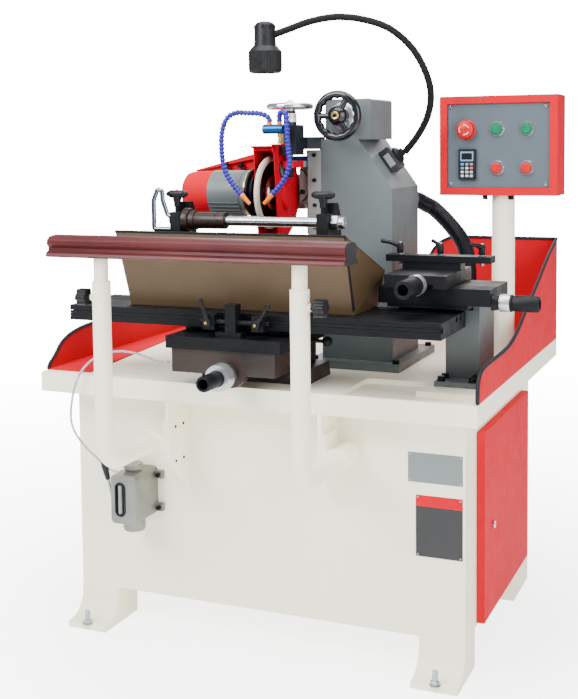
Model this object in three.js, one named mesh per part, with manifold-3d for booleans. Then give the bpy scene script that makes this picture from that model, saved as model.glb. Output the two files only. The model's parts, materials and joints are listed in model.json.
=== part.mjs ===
// Profile knife grinder: a floor-standing bench machine that grinds moulder knives to a template.
// Units are millimetres, +X right, +Y to the back, +Z up.
// While it is built, X = 0 is the middle of the table slab, Y = 0 its front edge and Z = 0 the floor.
import * as THREE from 'three';
import { mergeVertices } from 'three/addons/utils/BufferGeometryUtils.js';
import Module from 'manifold-3d';

const wasm = await Module();
wasm.setup();

// Clearances and shared habits
const gap = 0.3;            // running and seating clearance
const overrun = 6;          // how far a cut runs past the face that it opens
const sink = 1;             // how far a welded or cast-on feature starts inside its parent
const bolt = { head: 13, tall: 7 };
const facets = { wheel: 32, large: 24, dial: 20, round: 16, small: 10, thin: 8 };

// Table slab and cabinet
const slab = { width: 1150, depth: 960, thick: 50, top: 680 };
const tray = { left: 245, right: 545, front: 12, back: 210, deep: 12 };
const cabinet = { inset: 51, front: 93, back: 803, foot: 95, wall: 3 };
const leg = { wide: 112, front: 93, rear: 186, toe: 73, toeThick: 16 };
const gusset = { inner: 197, thick: 10, root: 383, nose: 481, reach: 101 };
const door = { front: 197, back: 706, bottom: 104, top: 571, thick: 20, skin: 2, rim: 16, jamb: 14 };
const lock = { radius: 9, proud: 6, y: 280, z: 325, slotWide: 3, slotDeep: 3 };
const wiring = { inset: 150, thick: 4, edge: 70, clear: 60, deep: 62 };

// Sheet guard round the back of the slab
const guard = { sheet: 3, low: 93, high: 295, rearPanel: 295, curve: 62, flange: 129, hole: 4 };
const guardShares = { footStart: 0.03, footWaist: 0.54, footNeck: 0.6, hole: 0.3, shoulder: 1.5,
  slope: 2.4, toe: 3.6 };
const guardSideShares = [[0.03, 0], [0.036, 0.04], [0.064, 0.11], [0.093, 0.2], [0.165, 0.295],
  [0.34, 0.33], [0.46, 0.45], [0.63, 0.67], [0.82, 0.84], [0.997, 1]];

// Hand rest: two bent tubes, two sliding posts and a moulded rail
const rest = { x: 246, pipe: 21.5, post: 17, forward: 222, low: 525, top: 953, bend: 56, socket: 28 };
const restPlate = { thick: 8, tall: 115, deep: 78, boss: 44 };
const restKnob = { z: 915, bossRadius: 9, bossLong: 5, neck: 7, neckLong: 9, radius: 20, thick: 24 };
const post = { down: 190 };
const rail = { left: -368, right: 361, front: -262, deep: 82, bottom: 1008, tall: 50 };
const railShares = [[0.06, 0], [0.94, 0], [1, 0.07], [0.97, 0.2], [0.86, 0.29], [0.84, 0.42], [0.93, 0.6],
  [0.91, 0.8], [0.78, 0.95], [0.5, 1], [0.22, 0.95], [0.09, 0.8], [0.07, 0.6], [0.16, 0.42],
  [0.14, 0.29], [0.03, 0.2], [0, 0.07]];

// Control station
const stand = { x: 513, y: 526, radius: 30, foot: 58, footThick: 10 };
const box = { left: 354, right: 660, front: 480, deep: 108, bottom: 1123, top: 1380, lip: 20, recess: 9 };
const panel = { thick: 3 };
const keypad = { in: 74, down: 176, wide: 44, tall: 78, proud: 9 };
const button = { in: 150, apart: 77, down: 86, drop: 100, radius: 14, stem: 9, proud: 12, stroke: 3 };
const stop = { in: 70, down: 87, radius: 22, stem: 10, proud: 26, crown: 11 };

// Column, its gearbox and the two vertical slides of the grinding head
const column = { left: 79, right: 272, front: 330, back: 556, top: 1272, shoulder: 1145, cut: 91 };
const columnBase = { left: 50, right: 300, front: 295, back: 620, thick: 20 };
const gearbox = { left: 92, right: 216, back: 504, tall: 104, edge: 7 };
const wheelA = { x: 151, y: 262, z: 1331, radius: 63, rim: 9, hub: 17, shaft: 10, dial: 24, dialLong: 26 };
const way = { low: 950, wide: 46, neck: 30, deep: 14 };
const coarse = { left: 41, back: 430, low: 1023, tall: 222 };
const fine = { left: 12, front: 348, back: 420, low: 1105, tall: 110, capTall: 14, disc: 50, discOut: 3,
  discX: -10, discZ: 1152 };
const screw = { x: 22, y: 262, radius: 7, bottom: 1144, nutLow: 1201, nutTall: 16, nutWide: 30 };
const bevelBox = { left: 6, right: 48, front: 235, back: 290, low: 1233, top: 1310 };
const bridge = { low: 1247, tall: 32, back: 372 };
const wheelB = { z: 1357, radius: 60, rim: 8, hub: 14, collar: 17, collarLong: 20 };

// Grinding head
const spindle = { y: 250, z: 1136, radius: 12, flange: 34, flangeThick: 7, nut: 15 };
const stone = { x: -30, radius: 93, wide: 12, bevel: 3 };
const hood = { left: -59, right: 0, radius: 120, sheet: 3, topLead: 42, bottomLead: 17, boss: 34,
  bossOut: 7 };
const lug = { front: 200, back: 250, low: 1240, top: 1262, out: 30, shelfFront: 190, shelfBack: 214 };
const motor = { left: -278, capLong: 93, ring: -82, right: -62, radius: 58.5, flange: 64, foot: 40,
  fins: 9, fin: 2.5 };
const finShares = { first: 0.14, spread: 0.72 };
const arm = { left: -274, inner: 322, notch: 376, low: 1088, tall: 92 };
const cover = { left: -279, right: -64, lowEnd: 14, highEnd: 66, thin: 4, thick: 17, overlap: 8 };
const block = { left: -23, right: 34, y: 194, z: 1299, radius: 12, stem: 6, stemX: 22, stemY: 202,
  port: 5.5, portTall: 5,
  leftPort: -6, rightPort: 22 };
const hose = { radius: 7.5, waist: 5.6, pitch: 14, nozzle: 5.5, tip: 2.6, nozzleLong: 34 };

// Cross slide, long table, tray and work arbor
const crossBase = { left: -167, right: 105, front: -40, back: 220, low: 716, top: 774 };
const crossFoot = { left: -145, right: 141, front: 72, back: 228 };
const saddle = { left: -178, right: 123, front: -50, back: 232, thick: 30, guideFront: 52, guideBack: 186 };
const stopPost = { left: -25, right: 3, front: -36, back: -6, foot: 13, top: 884 };
const stopRod = { radius: 6, left: -96, right: 84, z: 840 };
const stopBlock = { wide: 30, low: 822, tall: 36, leftX: -69, rightX: 59 };
const stopLever = { radius: 5, long: 62, tip: 7, eye: 10, leftDegrees: 17, rightDegrees: 33 };
const lockRod = { y: 84, z: 789, radius: 5, long: 66, ball: 12.5 };
const infeed = { x: -10, z: 722, dial: 32, dialFront: -112, barrel: 19, front: -183, hollow: 12, deep: 40,
  shaft: 9 };
const table = { left: -489, right: 490, front: 10, back: 226, low: 819, tall: 39 };
const slot = { mouth: 9, throat: 17, depth: 15, lip: 7 };
const tank = { left: -337, right: 266, front: 60, back: 236, frontOut: 40, frontTall: 190, backTall: 86,
  sheet: 2,
  flareLeft: 19, drawIn: 6, flareBack: 17, backLip: 24 };
const arbor = { y: 76, z: 1075, bar: 12.5, sleeve: 21, disc: 30.5, hub: 24, face: -153, sleeveEnd: -71,
  end: 240, nut: 19,
  nutLong: 18, step: 14 };
const bracket = { leftA: -215, leftB: -186, rightA: 177, rightB: 206, front: 48, top: 1096, heel: 149,
  back: 138,
  lugFront: 94, lugBack: 118, lugTop: 1120, shoulder: 1085 };
const clamp = { screw: 6, aside: 7.5, spare: 3, stem: 8, rise: 36, bar: 9.5, half: 27 };
const bail = { y: 53, radius: 5, out: 47, rise: 77, bend: 6 };
// Corners of the bail: shares of its reach to the left and of its rise above the arbor
const bailShares = [[0, 0.13], [0.19, 0.195], [0.45, 0.65], [0.49, 0.95], [0.75, 1], [1, 0.65], [1,
  -0.285], [0, -0.285]];

// Template stand at the right
const standBase = { left: 426, right: 532, front: 172, back: 400, thick: 12 };
const pedestal = { left: 439, right: 518, front: 240, back: 390, top: 868 };
const lower = { left: 292, right: 565, front: 160, back: 344, tall: 40, rail: 10, screwIn: 27,
  screwUp: 7.7, boss: 20, bossLong: 17 };
const seat = { left: 312, right: 510, front: 166, back: 340, tall: 10, guideFront: 210, guideBack: 290 };
const upper = { left: 316, right: 468, front: 130, back: 366, tall: 31.4, screwUp: 9.4, screwIn: 82 };
const plate = { left: 276, right: 541, front: 266, back: 314, low: 968, tall: 16 };
const riser = { left: 318, right: 466, front: 270 };
const micro = { dial: 21, dialLong: 25, barrel: 19.5, longX: 68, longY: 88, hollow: 13, deep: 30 };
const leverRow = { y: 290, first: 306, step: 104, boss: 7.5, bossTall: 28, arm: 4.5, long: 50, grip: 6,
  stud: 4, studDown: 8 };
const leverDegrees = [180, 130, 250];

// Lubricator on the cabinet front
const oiler = { x: -324, half: 36, front: -20, low: 312, top: 436, ear: 19, earThick: 14 };
const oilCap = { radius: 25, tall: 20 };
const oilCup = { radius: 29, drop: 28, y: 32 };
const oilLever = { x: -372, y: 20, z: 330, eye: 11, thick: 12, long: 150, arm: 5, grip: 9, gripLong: 46,
  leanDegrees: 8 };
const sight = { wide: 26, tall: 84, deep: 4, x: -333 };

// Work lamp, cable conduit and oil line
const lamp = { neck: 7, bell: 24.5, skirt: 37.5, tall: 118, wall: 3, y: 430 };
const magnet = { long: 64, wide: 50, thick: 34, dome: 22, high: 44, joint: 11, reach: 52 };
const conduit = { radius: 22, root: 19.5, bore: 17, pitch: 12, sleeve: 26, sleeveLong: 16 };
const oilLine = { radius: 3, union: 7, unionLong: 14 };

const ground = { cream: '#efeee6', red: '#f5202f', grey: '#7f888a', darkGrey: '#6f7c80', black: '#1c1e21',
  brown: '#43312f', tan: '#85705a', rail: '#8b3a3e', steel: '#c9ccd0', chrome: '#e4e7ea', navy: '#1e2c4a',
  panel: '#87929a', blue: '#0f5f9e', violet: '#3a35a8', green: '#00c878', stone: '#e8dfd0',
    putty: '#b9bdb8' };

const machine = new THREE.Group();

function finish(colour, roughness, metalness) {
  return new THREE.MeshStandardMaterial({ color: colour, roughness, metalness });
}

const cream = () => finish(ground.cream, 0.42, 0);
const redPaint = () => finish(ground.red, 0.38, 0);
const greyPaint = () => finish(ground.grey, 0.5, 0);
const blackSteel = () => finish(ground.black, 0.42, 0.6);
const blackPlastic = () => finish(ground.black, 0.5, 0);
const bareSteel = () => finish(ground.steel, 0.3, 1);
const chromed = () => finish(ground.chrome, 0.12, 1);

// Solids: a geometry becomes a closed solid, and joins and cuts give a geometry back
function solidOf(geometry) {
  const bare = geometry.clone();
  bare.deleteAttribute('normal');
  bare.deleteAttribute('uv');
  const merged = mergeVertices(bare);
  const old = merged.index.array;
  const kept = [];
  for (let i = 0; i < old.length; i += 3) {
    const [a, b, c] = [old[i], old[i + 1], old[i + 2]];
    if (a !== b && b !== c && c !== a) kept.push(a, b, c);
  }
  return new wasm.Manifold(new wasm.Mesh({
    numProp: 3,
    vertProperties: new Float32Array(merged.attributes.position.array),
    triVerts: new Uint32Array(kept),
  }));
}

function geometryOf(solid) {
  const mesh = solid.getMesh();
  const geometry = new THREE.BufferGeometry();
  geometry.setAttribute('position', new THREE.BufferAttribute(new Float32Array(mesh.vertProperties), 3));
  geometry.setIndex(new THREE.BufferAttribute(new Uint32Array(mesh.triVerts), 1));
  geometry.computeVertexNormals();
  return geometry;
}

const join = (...shapes) => geometryOf(shapes.map(solidOf).reduce((all, next) => all.add(next)));
const cut = (body, ...tools) => geometryOf(tools.map(solidOf).reduce((left, tool) => left.subtract(tool),
  solidOf(body)));

// Basic bodies, placed by their limits
function span(x0, x1, y0, y1, z0, z1) {
  const body = new THREE.BoxGeometry(x1 - x0, y1 - y0, z1 - z0);
  return body.translate((x0 + x1) / 2, (y0 + y1) / 2, (z0 + z1) / 2);
}

const axes = { x: new THREE.Vector3(1, 0, 0), y: new THREE.Vector3(0, 1, 0), z: new THREE.Vector3(0, 0,
  1) };

// An outline runs in (y, z) for x, in (x, z) for y and in (x, y) for z
function prism(axis, outline, from, to, curveSegments = 8) {
  const shape = outline instanceof THREE.Shape ? outline : new THREE.Shape(outline.map(([a,
    b]) => new THREE.Vector2(a, b)));
  const body = new THREE.ExtrudeGeometry(shape, { depth: to - from, bevelEnabled: false, curveSegments });
  const basis = new THREE.Matrix4();
  if (axis === 'x') basis.makeBasis(axes.y, axes.z, axes.x).setPosition(from, 0, 0);
  if (axis === 'y') basis.makeBasis(axes.x, axes.z, axes.y.clone().negate()).setPosition(0, to, 0);
  if (axis === 'z') basis.setPosition(0, 0, from);
  return body.applyMatrix4(basis);
}

// A profile of [radius, distance along the axis], turned about an axis through a point
function turned(axis, profile, [x, y, z], sides = facets.round) {
  const body = new THREE.LatheGeometry(profile.map(([r, h]) => new THREE.Vector2(r, h)), sides);
  if (axis === 'x') body.rotateZ(-Math.PI / 2);
  if (axis === 'z') body.rotateX(Math.PI / 2);
  return body.translate(x, y, z);
}

function rod(axis, radius, from, to, [x, y, z], sides = facets.round) {
  return turned(axis, [[0, from], [radius, from], [radius, to], [0, to]], [x, y, z], sides);
}

function ring(axis, outer, inner, from, to, centre, sides = facets.round) {
  return turned(axis, [[inner, from], [outer, from], [outer, to], [inner, to], [inner, from]], centre,
    sides);
}

// A closed skin through rings of points; a closed run of rings joins its last ring to its first
function skin(rings, closed = false) {
  const sides = rings[0].length;
  const positions = rings.flat().flatMap((p) => [p.x, p.y, p.z]);
  const faces = [];
  const count = closed ? rings.length : rings.length - 1;
  for (let r = 0; r < count; r += 1) {
    const a = r * sides;
    const b = ((r + 1) % rings.length) * sides;
    for (let i = 0; i < sides; i += 1) {
      const j = (i + 1) % sides;
      faces.push(a + i, a + j, b + j, a + i, b + j, b + i);
    }
  }
  if (!closed) {
    const last = (rings.length - 1) * sides;
    for (let i = 1; i < sides - 1; i += 1) faces.push(0, i + 1, i, last, last + i, last + i + 1);
  }
  const geometry = new THREE.BufferGeometry();
  geometry.setAttribute('position', new THREE.Float32BufferAttribute(positions, 3));
  geometry.setIndex(faces);
  return geometry;
}

// Cross-sections carried along a path without twist
function carried(path) {
  let side = null;
  return path.map((point, i) => {
    const ahead = path[Math.min(i + 1, path.length - 1)].clone().sub(path[Math.max(i - 1, 0)]).normalize();
    if (!side) side = Math.abs(ahead.z) < 0.8 ? axes.z.clone() : axes.x.clone();
    side = side.clone().addScaledVector(ahead, -side.dot(ahead)).normalize();
    return { point, side, up: ahead.clone().cross(side) };
  });
}

function circleAt({ point, side, up }, radius, sides) {
  return Array.from({ length: sides }, (_, i) => {
    const a = (2 * Math.PI * i) / sides;
    return point.clone().addScaledVector(side, radius * Math.cos(a)).addScaledVector(up,
      radius * Math.sin(a));
  });
}

const pipe = (path, radius, sides) => skin(carried(path).map((frame) => circleAt(frame, radius, sides)));

// Points of a path whose corners are rounded by arcs of one radius
function rounded(corners, radius, steps = 6) {
  const points = [corners[0]];
  for (let i = 1; i < corners.length - 1; i += 1) {
    const back = corners[i - 1].clone().sub(corners[i]).normalize();
    const on = corners[i + 1].clone().sub(corners[i]).normalize();
    const half = back.angleTo(on) / 2;
    const reach = radius / Math.tan(half);
    const centre = corners[i].clone().addScaledVector(back.clone().add(on).normalize(),
      radius / Math.sin(half));
    const from = corners[i].clone().addScaledVector(back, reach).sub(centre);
    const turn = new THREE.Vector3().crossVectors(on, back).normalize();
    for (let s = 0; s <= steps; s += 1) {
      points.push(from.clone().applyAxisAngle(turn, ((Math.PI - 2 * half) * s) / steps).add(centre));
    }
  }
  points.push(corners[corners.length - 1]);
  return points;
}

const at = (x, y, z) => new THREE.Vector3(x, y, z);
const place = (name, geometry, material) => {
  const mesh = new THREE.Mesh(geometryOf(solidOf(geometry)), material);
  mesh.name = name;
  machine.add(mesh);
};

// A hexagon head standing on a face
const hexHead = (axis, centre, from, to) => rod(axis, bolt.head / 2, from, to, centre, 6);

// Table slab: a thick plate with a shallow coolant pocket at the front right
function tableSlab() {
  const half = slab.width / 2;
  const low = slab.top - slab.thick;
  const plateBody = span(-half, half, 0, slab.depth, low, slab.top);
  const pocket = new THREE.Shape();
  const corner = tray.deep * 2;
  pocket.moveTo(tray.left + corner, tray.front);
  pocket.lineTo(tray.right - corner, tray.front);
  pocket.absarc(tray.right - corner, tray.front + corner, corner, -Math.PI / 2, 0);
  pocket.lineTo(tray.right, tray.back / 2);
  pocket.lineTo(standBase.left - corner, tray.back / 2);
  pocket.lineTo(standBase.left - corner, tray.back);
  pocket.lineTo(tray.left + corner, tray.back);
  pocket.absarc(tray.left + corner, tray.back - corner, corner, Math.PI / 2, Math.PI);
  pocket.lineTo(tray.left, tray.front + corner);
  pocket.absarc(tray.left + corner, tray.front + corner, corner, Math.PI, 1.5 * Math.PI);
  const foot = conduitRoute.at(-1);
  const gland = ring('z', conduit.sleeve, conduit.radius + gap * 3, slab.top - sink,
    slab.top + conduit.sleeveLong,
    [foot[0], foot[1], 0], facets.round);
  place('table_slab', join(cut(plateBody, prism('z', pocket, slab.top - tray.deep, slab.top + overrun,
    3)), gland), cream());
}

// Cabinet: sheet box on four flared legs, with gussets for the hand rest and a wiring board inside
function legShape(face, depth, toe) {
  const top = cabinet.foot + cabinet.wall;
  const outward = Math.sign(depth);
  const shape = new THREE.Shape();
  shape.moveTo(face, top);
  shape.lineTo(face, cabinet.foot);
  shape.quadraticCurveTo(face, leg.toeThick, face - outward * toe, leg.toeThick);
  shape.lineTo(face - outward * toe, 0);
  shape.lineTo(face + depth, 0);
  shape.lineTo(face + depth, top);
  shape.closePath();
  return shape;
}

function wiringBoard(half) {
  const x = half - wiring.inset;
  const y0 = cabinet.front + wiring.edge;
  const y1 = cabinet.back - wiring.edge;
  const low = cabinet.foot + cabinet.wall - sink;
  const top = door.top;
  const pieces = [span(x, x + wiring.thick, y0, y1, low, top)];
  const rows = 3;
  const rowTall = (top - low - wiring.clear) / rows;
  for (let r = 0; r < rows; r += 1) {
    const z0 = low + wiring.clear + r * rowTall;
    const wide = (y1 - y0) * (0.85 - r * 0.15);
    const from = y0 + wiring.clear / 2;
    pieces.push(span(x + wiring.thick - sink, x + wiring.deep / (r + 1) + wiring.thick, from,
      from + wide / 2,
      z0, z0 + rowTall * 0.7));
  }
  return pieces;
}

function cabinetBody() {
  const half = slab.width / 2 - cabinet.inset;
  const top = slab.top - slab.thick - gap;
  const w = cabinet.wall;
  const shell = cut(
    span(-half, half, cabinet.front, cabinet.back, cabinet.foot, top),
    span(-half + w, half - w, cabinet.front + w, cabinet.back - w, cabinet.foot + w, top - w),
    span(half - w - overrun, half + overrun, door.front + door.jamb, door.back - door.jamb,
      door.bottom + door.jamb, door.top - door.jamb),
  );
  const legs = [];
  for (const side of [-1, 1]) {
    const [x0, x1] = side < 0 ? [-half, -half + leg.wide] : [half - leg.wide, half];
    legs.push(prism('x', legShape(cabinet.front, leg.front, leg.toe), x0, x1));
    legs.push(prism('x', [[cabinet.back, cabinet.foot + w], [cabinet.back - leg.rear, cabinet.foot + w],
      [cabinet.back - leg.rear, 0], [cabinet.back, 0]], x0, x1));
  }
  const nose = cabinet.front - gusset.reach;
  const root = cabinet.front + w - sink;
  const gussets = [-1, 1].map((side) => {
    const inner = side * gusset.inner;
    const outer = side * (gusset.inner + gusset.thick);
    return prism('x', [[root, gusset.root], [root, top], [nose, top], [nose, gusset.nose],
      [cabinet.front, gusset.root]], Math.min(inner, outer), Math.max(inner, outer));
  });
  place('cabinet', join(shell, ...legs, ...gussets, ...wiringBoard(half)), cream());
}

// Side door: a folded red panel hinged at its back edge, with a coin lock
function sideDoor() {
  const x = slab.width / 2 - cabinet.inset + gap;
  const panelBody = span(x, x + door.thick, door.front, door.back, door.bottom, door.top);
  const pan = span(x - overrun, x + door.thick - door.skin, door.front + door.rim, door.back - door.rim,
    door.bottom + door.rim, door.top - door.rim);
  const hole = rod('x', lock.radius - lock.proud / 2 + gap, 0, door.thick + overrun, [x, lock.y, lock.z],
    16);
  place('cabinet_door', cut(panelBody, pan, hole), redPaint());
  const face = door.thick + gap;
  const barrel = turned('x', [[0, door.rim / 2], [lock.radius - lock.proud / 2, door.rim / 2],
    [lock.radius - lock.proud / 2, face], [lock.radius, face], [lock.radius, face + lock.proud - gap],
    [lock.radius - 2 * gap, face + lock.proud], [0, face + lock.proud]], [x, lock.y, lock.z], 16);
  const coin = span(x + face + lock.proud - lock.slotDeep, x + face + lock.proud + overrun,
    lock.y - lock.radius, lock.y + lock.radius, lock.z - lock.slotWide / 2, lock.z + lock.slotWide / 2);
  place('door_lock', cut(barrel, coin), chromed());
}

// Splash guard: one folded sheet, low at the left and high at the right and right rear
function splashGuard() {
  const half = slab.width / 2;
  const z = slab.top + gap;
  const rise = (tall) => guardSideShares.map(([a, b]) => new THREE.Vector2(a * slab.depth, z + b * tall));
  const smooth = (tall) => new THREE.SplineCurve(rise(tall)).getPoints(18);
  const panelShape = (line) => new THREE.Shape([...line, new THREE.Vector2(slab.depth, line.at(-1).y),
    new THREE.Vector2(slab.depth, z)]);
  const lowLine = smooth(guard.high).filter((p) => p.y <= z + guard.low);
  lowLine.push(new THREE.Vector2(slab.depth - guard.sheet, z + guard.low));
  const right = prism('x', panelShape(smooth(guard.high)), half - guard.sheet, half);
  const left = prism('x', panelShape(lowLine), -half, -half + guard.sheet);
  const back = new THREE.Shape();
  const highX = half - guard.rearPanel;
  back.moveTo(-half, z);
  back.lineTo(half, z);
  back.lineTo(half, z + guard.high);
  back.lineTo(highX, z + guard.high);
  const share = guardShares;
  back.quadraticCurveTo(highX - guard.curve, z + guard.high,
    highX - guard.curve * share.shoulder, z + guard.high - guard.curve);
  back.quadraticCurveTo(highX - guard.curve * share.slope, z + guard.low, highX - guard.curve * share.toe,
    z + guard.low);
  back.lineTo(-half, z + guard.low);
  back.closePath();
  const rear = prism('y', back, slab.depth - guard.sheet, slab.depth, 6);
  const neck = -half + guard.flange * share.footNeck;
  const foot = prism('z', [[-half, share.footStart * slab.depth], [-half + guard.flange,
    share.footStart * slab.depth],
    [neck, share.footWaist * slab.depth], [neck, slab.depth], [-half, slab.depth]], z, z + guard.sheet);
  const screwHole = rod('x', guard.hole, -overrun, guard.sheet + overrun,
    [-half, slab.depth * share.hole, z + guard.low / 2], facets.small);
  place('splash_guard', cut(join(right, left, rear, foot), screwHole), redPaint());
}

// Hand rest: socketed tube, sliding post, clamp knob and the moulded rail
function restTube(side) {
  const x = side * rest.x;
  const end = cabinet.front - gusset.reach + restPlate.deep;
  const path = rounded([at(x, end, rest.low), at(x, -rest.forward, rest.low), at(x, -rest.forward,
    rest.top)], rest.bend);
  const tube = pipe(path, rest.pipe, facets.round);
  const bore = rod('z', rest.post + gap, rest.top - post.down - rest.bend, rest.top + overrun, [x,
    -rest.forward, 0]);
  const socket = rod('y', rest.socket, end - restPlate.deep, end, [x, 0, rest.low]);
  const plateIn = side * (gusset.inner + gusset.thick + gap);
  const plateOut = side * (gusset.inner + gusset.thick + gap + restPlate.thick);
  const flat = span(Math.min(plateIn, plateOut), Math.max(plateIn, plateOut), end - restPlate.deep, end,
    rest.low - restPlate.tall / 2, rest.low + restPlate.tall / 2);
  const web = span(Math.min(plateIn, x), Math.max(plateIn, x), end - restPlate.deep, end,
    rest.low - restPlate.boss / 2, rest.low + restPlate.boss / 2);
  const reach = [side * (rest.pipe - restKnob.bossLong), side * (rest.pipe + restKnob.bossLong)].sort((a,
    b) => a - b);
  const boss = rod('x', restKnob.bossRadius, reach[0], reach[1], [x, -rest.forward, restKnob.z],
    facets.small);
  return cut(join(tube, socket, flat, web, cut(boss, rod('z', rest.post + gap, 0, rest.top, [x,
    -rest.forward, 0]))), bore);
}

function starKnob(side) {
  const x = side * (rest.x + rest.pipe + restKnob.bossLong + gap);
  const lobes = 6;
  const shape = new THREE.Shape();
  for (let i = 0; i < lobes; i += 1) {
    const a = (2 * Math.PI * i) / lobes;
    const step = Math.PI / lobes;
    const spot = (r, angle) => [r * Math.cos(angle) - rest.forward, r * Math.sin(angle) + restKnob.z];
    if (i === 0) shape.moveTo(...spot(restKnob.radius, a - step / 2));
    shape.quadraticCurveTo(...spot(restKnob.radius * 1.12, a), ...spot(restKnob.radius, a + step / 2));
    shape.quadraticCurveTo(...spot(restKnob.radius * 0.68, a + step), ...spot(restKnob.radius,
      a + step * 1.5));
  }
  const near = x + side * restKnob.neckLong;
  const far = near + side * restKnob.thick;
  const [n0, n1] = [x, near + side * sink].sort((a, b) => a - b);
  return join(prism('x', shape, Math.min(near, far), Math.max(near, far), 3),
    rod('x', restKnob.neck, n0, n1, [0, -rest.forward, restKnob.z], facets.small));
}

function handRest() {
  for (const [word, side] of [['left', -1], ['right', 1]]) {
    place(`rest_tube_${word}`, restTube(side), cream());
    place(`rest_post_${word}`, rod('z', rest.post, rest.top - post.down, rail.bottom - gap,
      [side * rest.x, -rest.forward, 0]), cream());
    place(`rest_clamp_knob_${word}`, starKnob(side), blackPlastic());
  }
  const outline = railShares.map(([a, b]) => [rail.front + a * rail.deep, rail.bottom + b * rail.tall]);
  place('hand_rest_rail', prism('x', outline, rail.left, rail.right), finish(ground.rail, 0.45, 0));
}

// Control station: post, box with a recessed panel, keypad and push buttons
function controlStation() {
  const foot = slab.top + gap;
  const postBody = join(rod('z', stand.radius, foot, box.bottom - gap, [stand.x, stand.y, 0], facets.round),
    rod('z', stand.foot, foot, foot + stand.footThick, [stand.x, stand.y, 0], facets.round));
  place('control_post', postBody, cream());
  const back = box.front + box.deep;
  const shell = cut(span(box.left, box.right, box.front, back, box.bottom, box.top),
    span(box.left + box.lip, box.right - box.lip, box.front - overrun, box.front + box.recess,
      box.bottom + box.lip, box.top - box.lip),
    ...stations().map(([x, z, stem]) => rod('y', stem + gap * 2, box.front, back - box.lip, [x, 0, z],
      16)));
  place('control_box', shell, redPaint());
  const face = box.front + box.recess - gap;
  const edge = gap;
  const sheet = span(box.left + box.lip + edge, box.right - box.lip - edge, face - panel.thick, face,
    box.bottom + box.lip + edge, box.top - box.lip - edge);
  const padX = box.left + keypad.in;
  const padZ = box.top - keypad.down;
  const pad = span(padX - keypad.wide / 2, padX + keypad.wide / 2, face - panel.thick - keypad.proud,
    face - sink, padZ - keypad.tall / 2, padZ + keypad.tall / 2);
  const holes = stations().map(([x, z, stem]) => rod('y', stem + gap, box.front - overrun, back, [x, 0,
    z], 16));
  place('control_plate', cut(join(sheet, pad), ...holes), finish(ground.panel, 0.45, 0.2));
}

// Places of the stop button and of the four push buttons, row by row, with the radius of each stem
function stations() {
  const x = box.left + button.in;
  const z = box.top - button.down;
  const spots = [[box.left + stop.in, box.top - stop.down, stop.stem]];
  for (const down of [0, button.drop]) {
    for (const right of [0, button.apart]) spots.push([x + right, z - down, button.stem]);
  }
  return spots;
}

function pushButton([x, z]) {
  const face = box.front + box.recess - gap - panel.thick;
  const clear = button.stroke + gap * 2;
  return turned('y', [[0, face - button.proud], [button.radius * 0.82, face - button.proud],
    [button.radius, face - button.proud + button.stroke], [button.radius, face - clear],
    [button.stem, face - clear], [button.stem, face + box.deep / 4], [0, face + box.deep / 4]], [x, 0, z],
      16);
}

function controlButtons() {
  const face = box.front + box.recess - gap - panel.thick;
  const clear = button.stroke * 2 + gap * 2;
  const [big, wheelOn, coolantOn, wheelOff, coolantOff] = stations();
  place('emergency_stop_button', turned('y', [[0, face - stop.proud], [stop.radius * 0.6,
    face - stop.proud + gap],
    [stop.radius, face - stop.proud + stop.crown / 2], [stop.radius, face - stop.proud + stop.crown],
    [stop.stem * 1.2, face - clear], [stop.stem, face - clear], [stop.stem, face + box.deep / 4],
    [0, face + box.deep / 4]], [big[0], 0, big[1]]), finish(ground.red, 0.35, 0));
  const green = () => finish(ground.green, 0.35, 0);
  const red = () => finish(ground.red, 0.35, 0);
  place('wheel_start_button', pushButton(wheelOn), green());
  place('coolant_start_button', pushButton(coolantOn), green());
  place('wheel_stop_button', pushButton(wheelOff), red());
  place('coolant_stop_button', pushButton(coolantOff), red());
}

// A dovetail along Z: wide at its outer face, narrow where it leaves its parent
function dovetail(x0, x1, yMid, outer, neck, z0, z1) {
  return prism('z', [[x1, yMid - neck / 2], [x1, yMid + neck / 2], [x0, yMid + outer / 2], [x0,
    yMid - outer / 2]], z0, z1);
}

function columnBody() {
  const foot = slab.top + gap;
  const z0 = foot + columnBase.thick;
  const shell = prism('y', [[column.left, z0 - sink], [column.right, z0 - sink], [column.right,
    column.shoulder],
    [column.right - column.cut, column.top], [column.left, column.top]], column.front, column.back);
  const flange = span(columnBase.left, columnBase.right, columnBase.front, columnBase.back, foot, z0);
  const top = column.top - sink;
  const round = new THREE.Shape();
  const [g0, g1, gz] = [gearbox.left, gearbox.right, top + gearbox.tall];
  round.moveTo(g0, top);
  round.lineTo(g1, top);
  round.lineTo(g1, gz - gearbox.edge);
  round.absarc(g1 - gearbox.edge, gz - gearbox.edge, gearbox.edge, 0, Math.PI / 2);
  round.absarc(g0 + gearbox.edge, gz - gearbox.edge, gearbox.edge, Math.PI / 2, Math.PI);
  round.closePath();
  const head = prism('y', round, column.front, gearbox.back, 3);
  const boss = rod('y', wheelA.hub, column.front - wheelA.rim, column.front + sink, [wheelA.x, 0,
    wheelA.z], 20);
  const bore = rod('y', wheelA.shaft + gap, column.front - overrun * 2, column.front + gearbox.tall / 3,
    [wheelA.x, 0, wheelA.z], 16);
  const guide = dovetail(column.left - way.deep, column.left + sink, (column.front + coarse.back) / 2,
    way.wide, way.neck, way.low, column.top - bridge.tall / 2);
  const heads = [];
  for (const x of [(columnBase.left + column.left) / 2, (columnBase.right + column.right) / 2]) {
    for (const y of [columnBase.front + bolt.head * 1.5, columnBase.back - bolt.head * 1.5]) {
      heads.push(hexHead('z', [x, y, 0], z0 - sink, z0 + bolt.tall));
    }
  }
  const outlet = ring('y', conduit.sleeve, conduit.radius + gap * 3, -sink, conduit.sleeveLong,
    [conduitStart().x, column.back, conduitStart().z], 20);
  place('head_column', cut(join(shell, flange, head, boss, guide, outlet, ...heads), bore), greyPaint());
}

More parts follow.
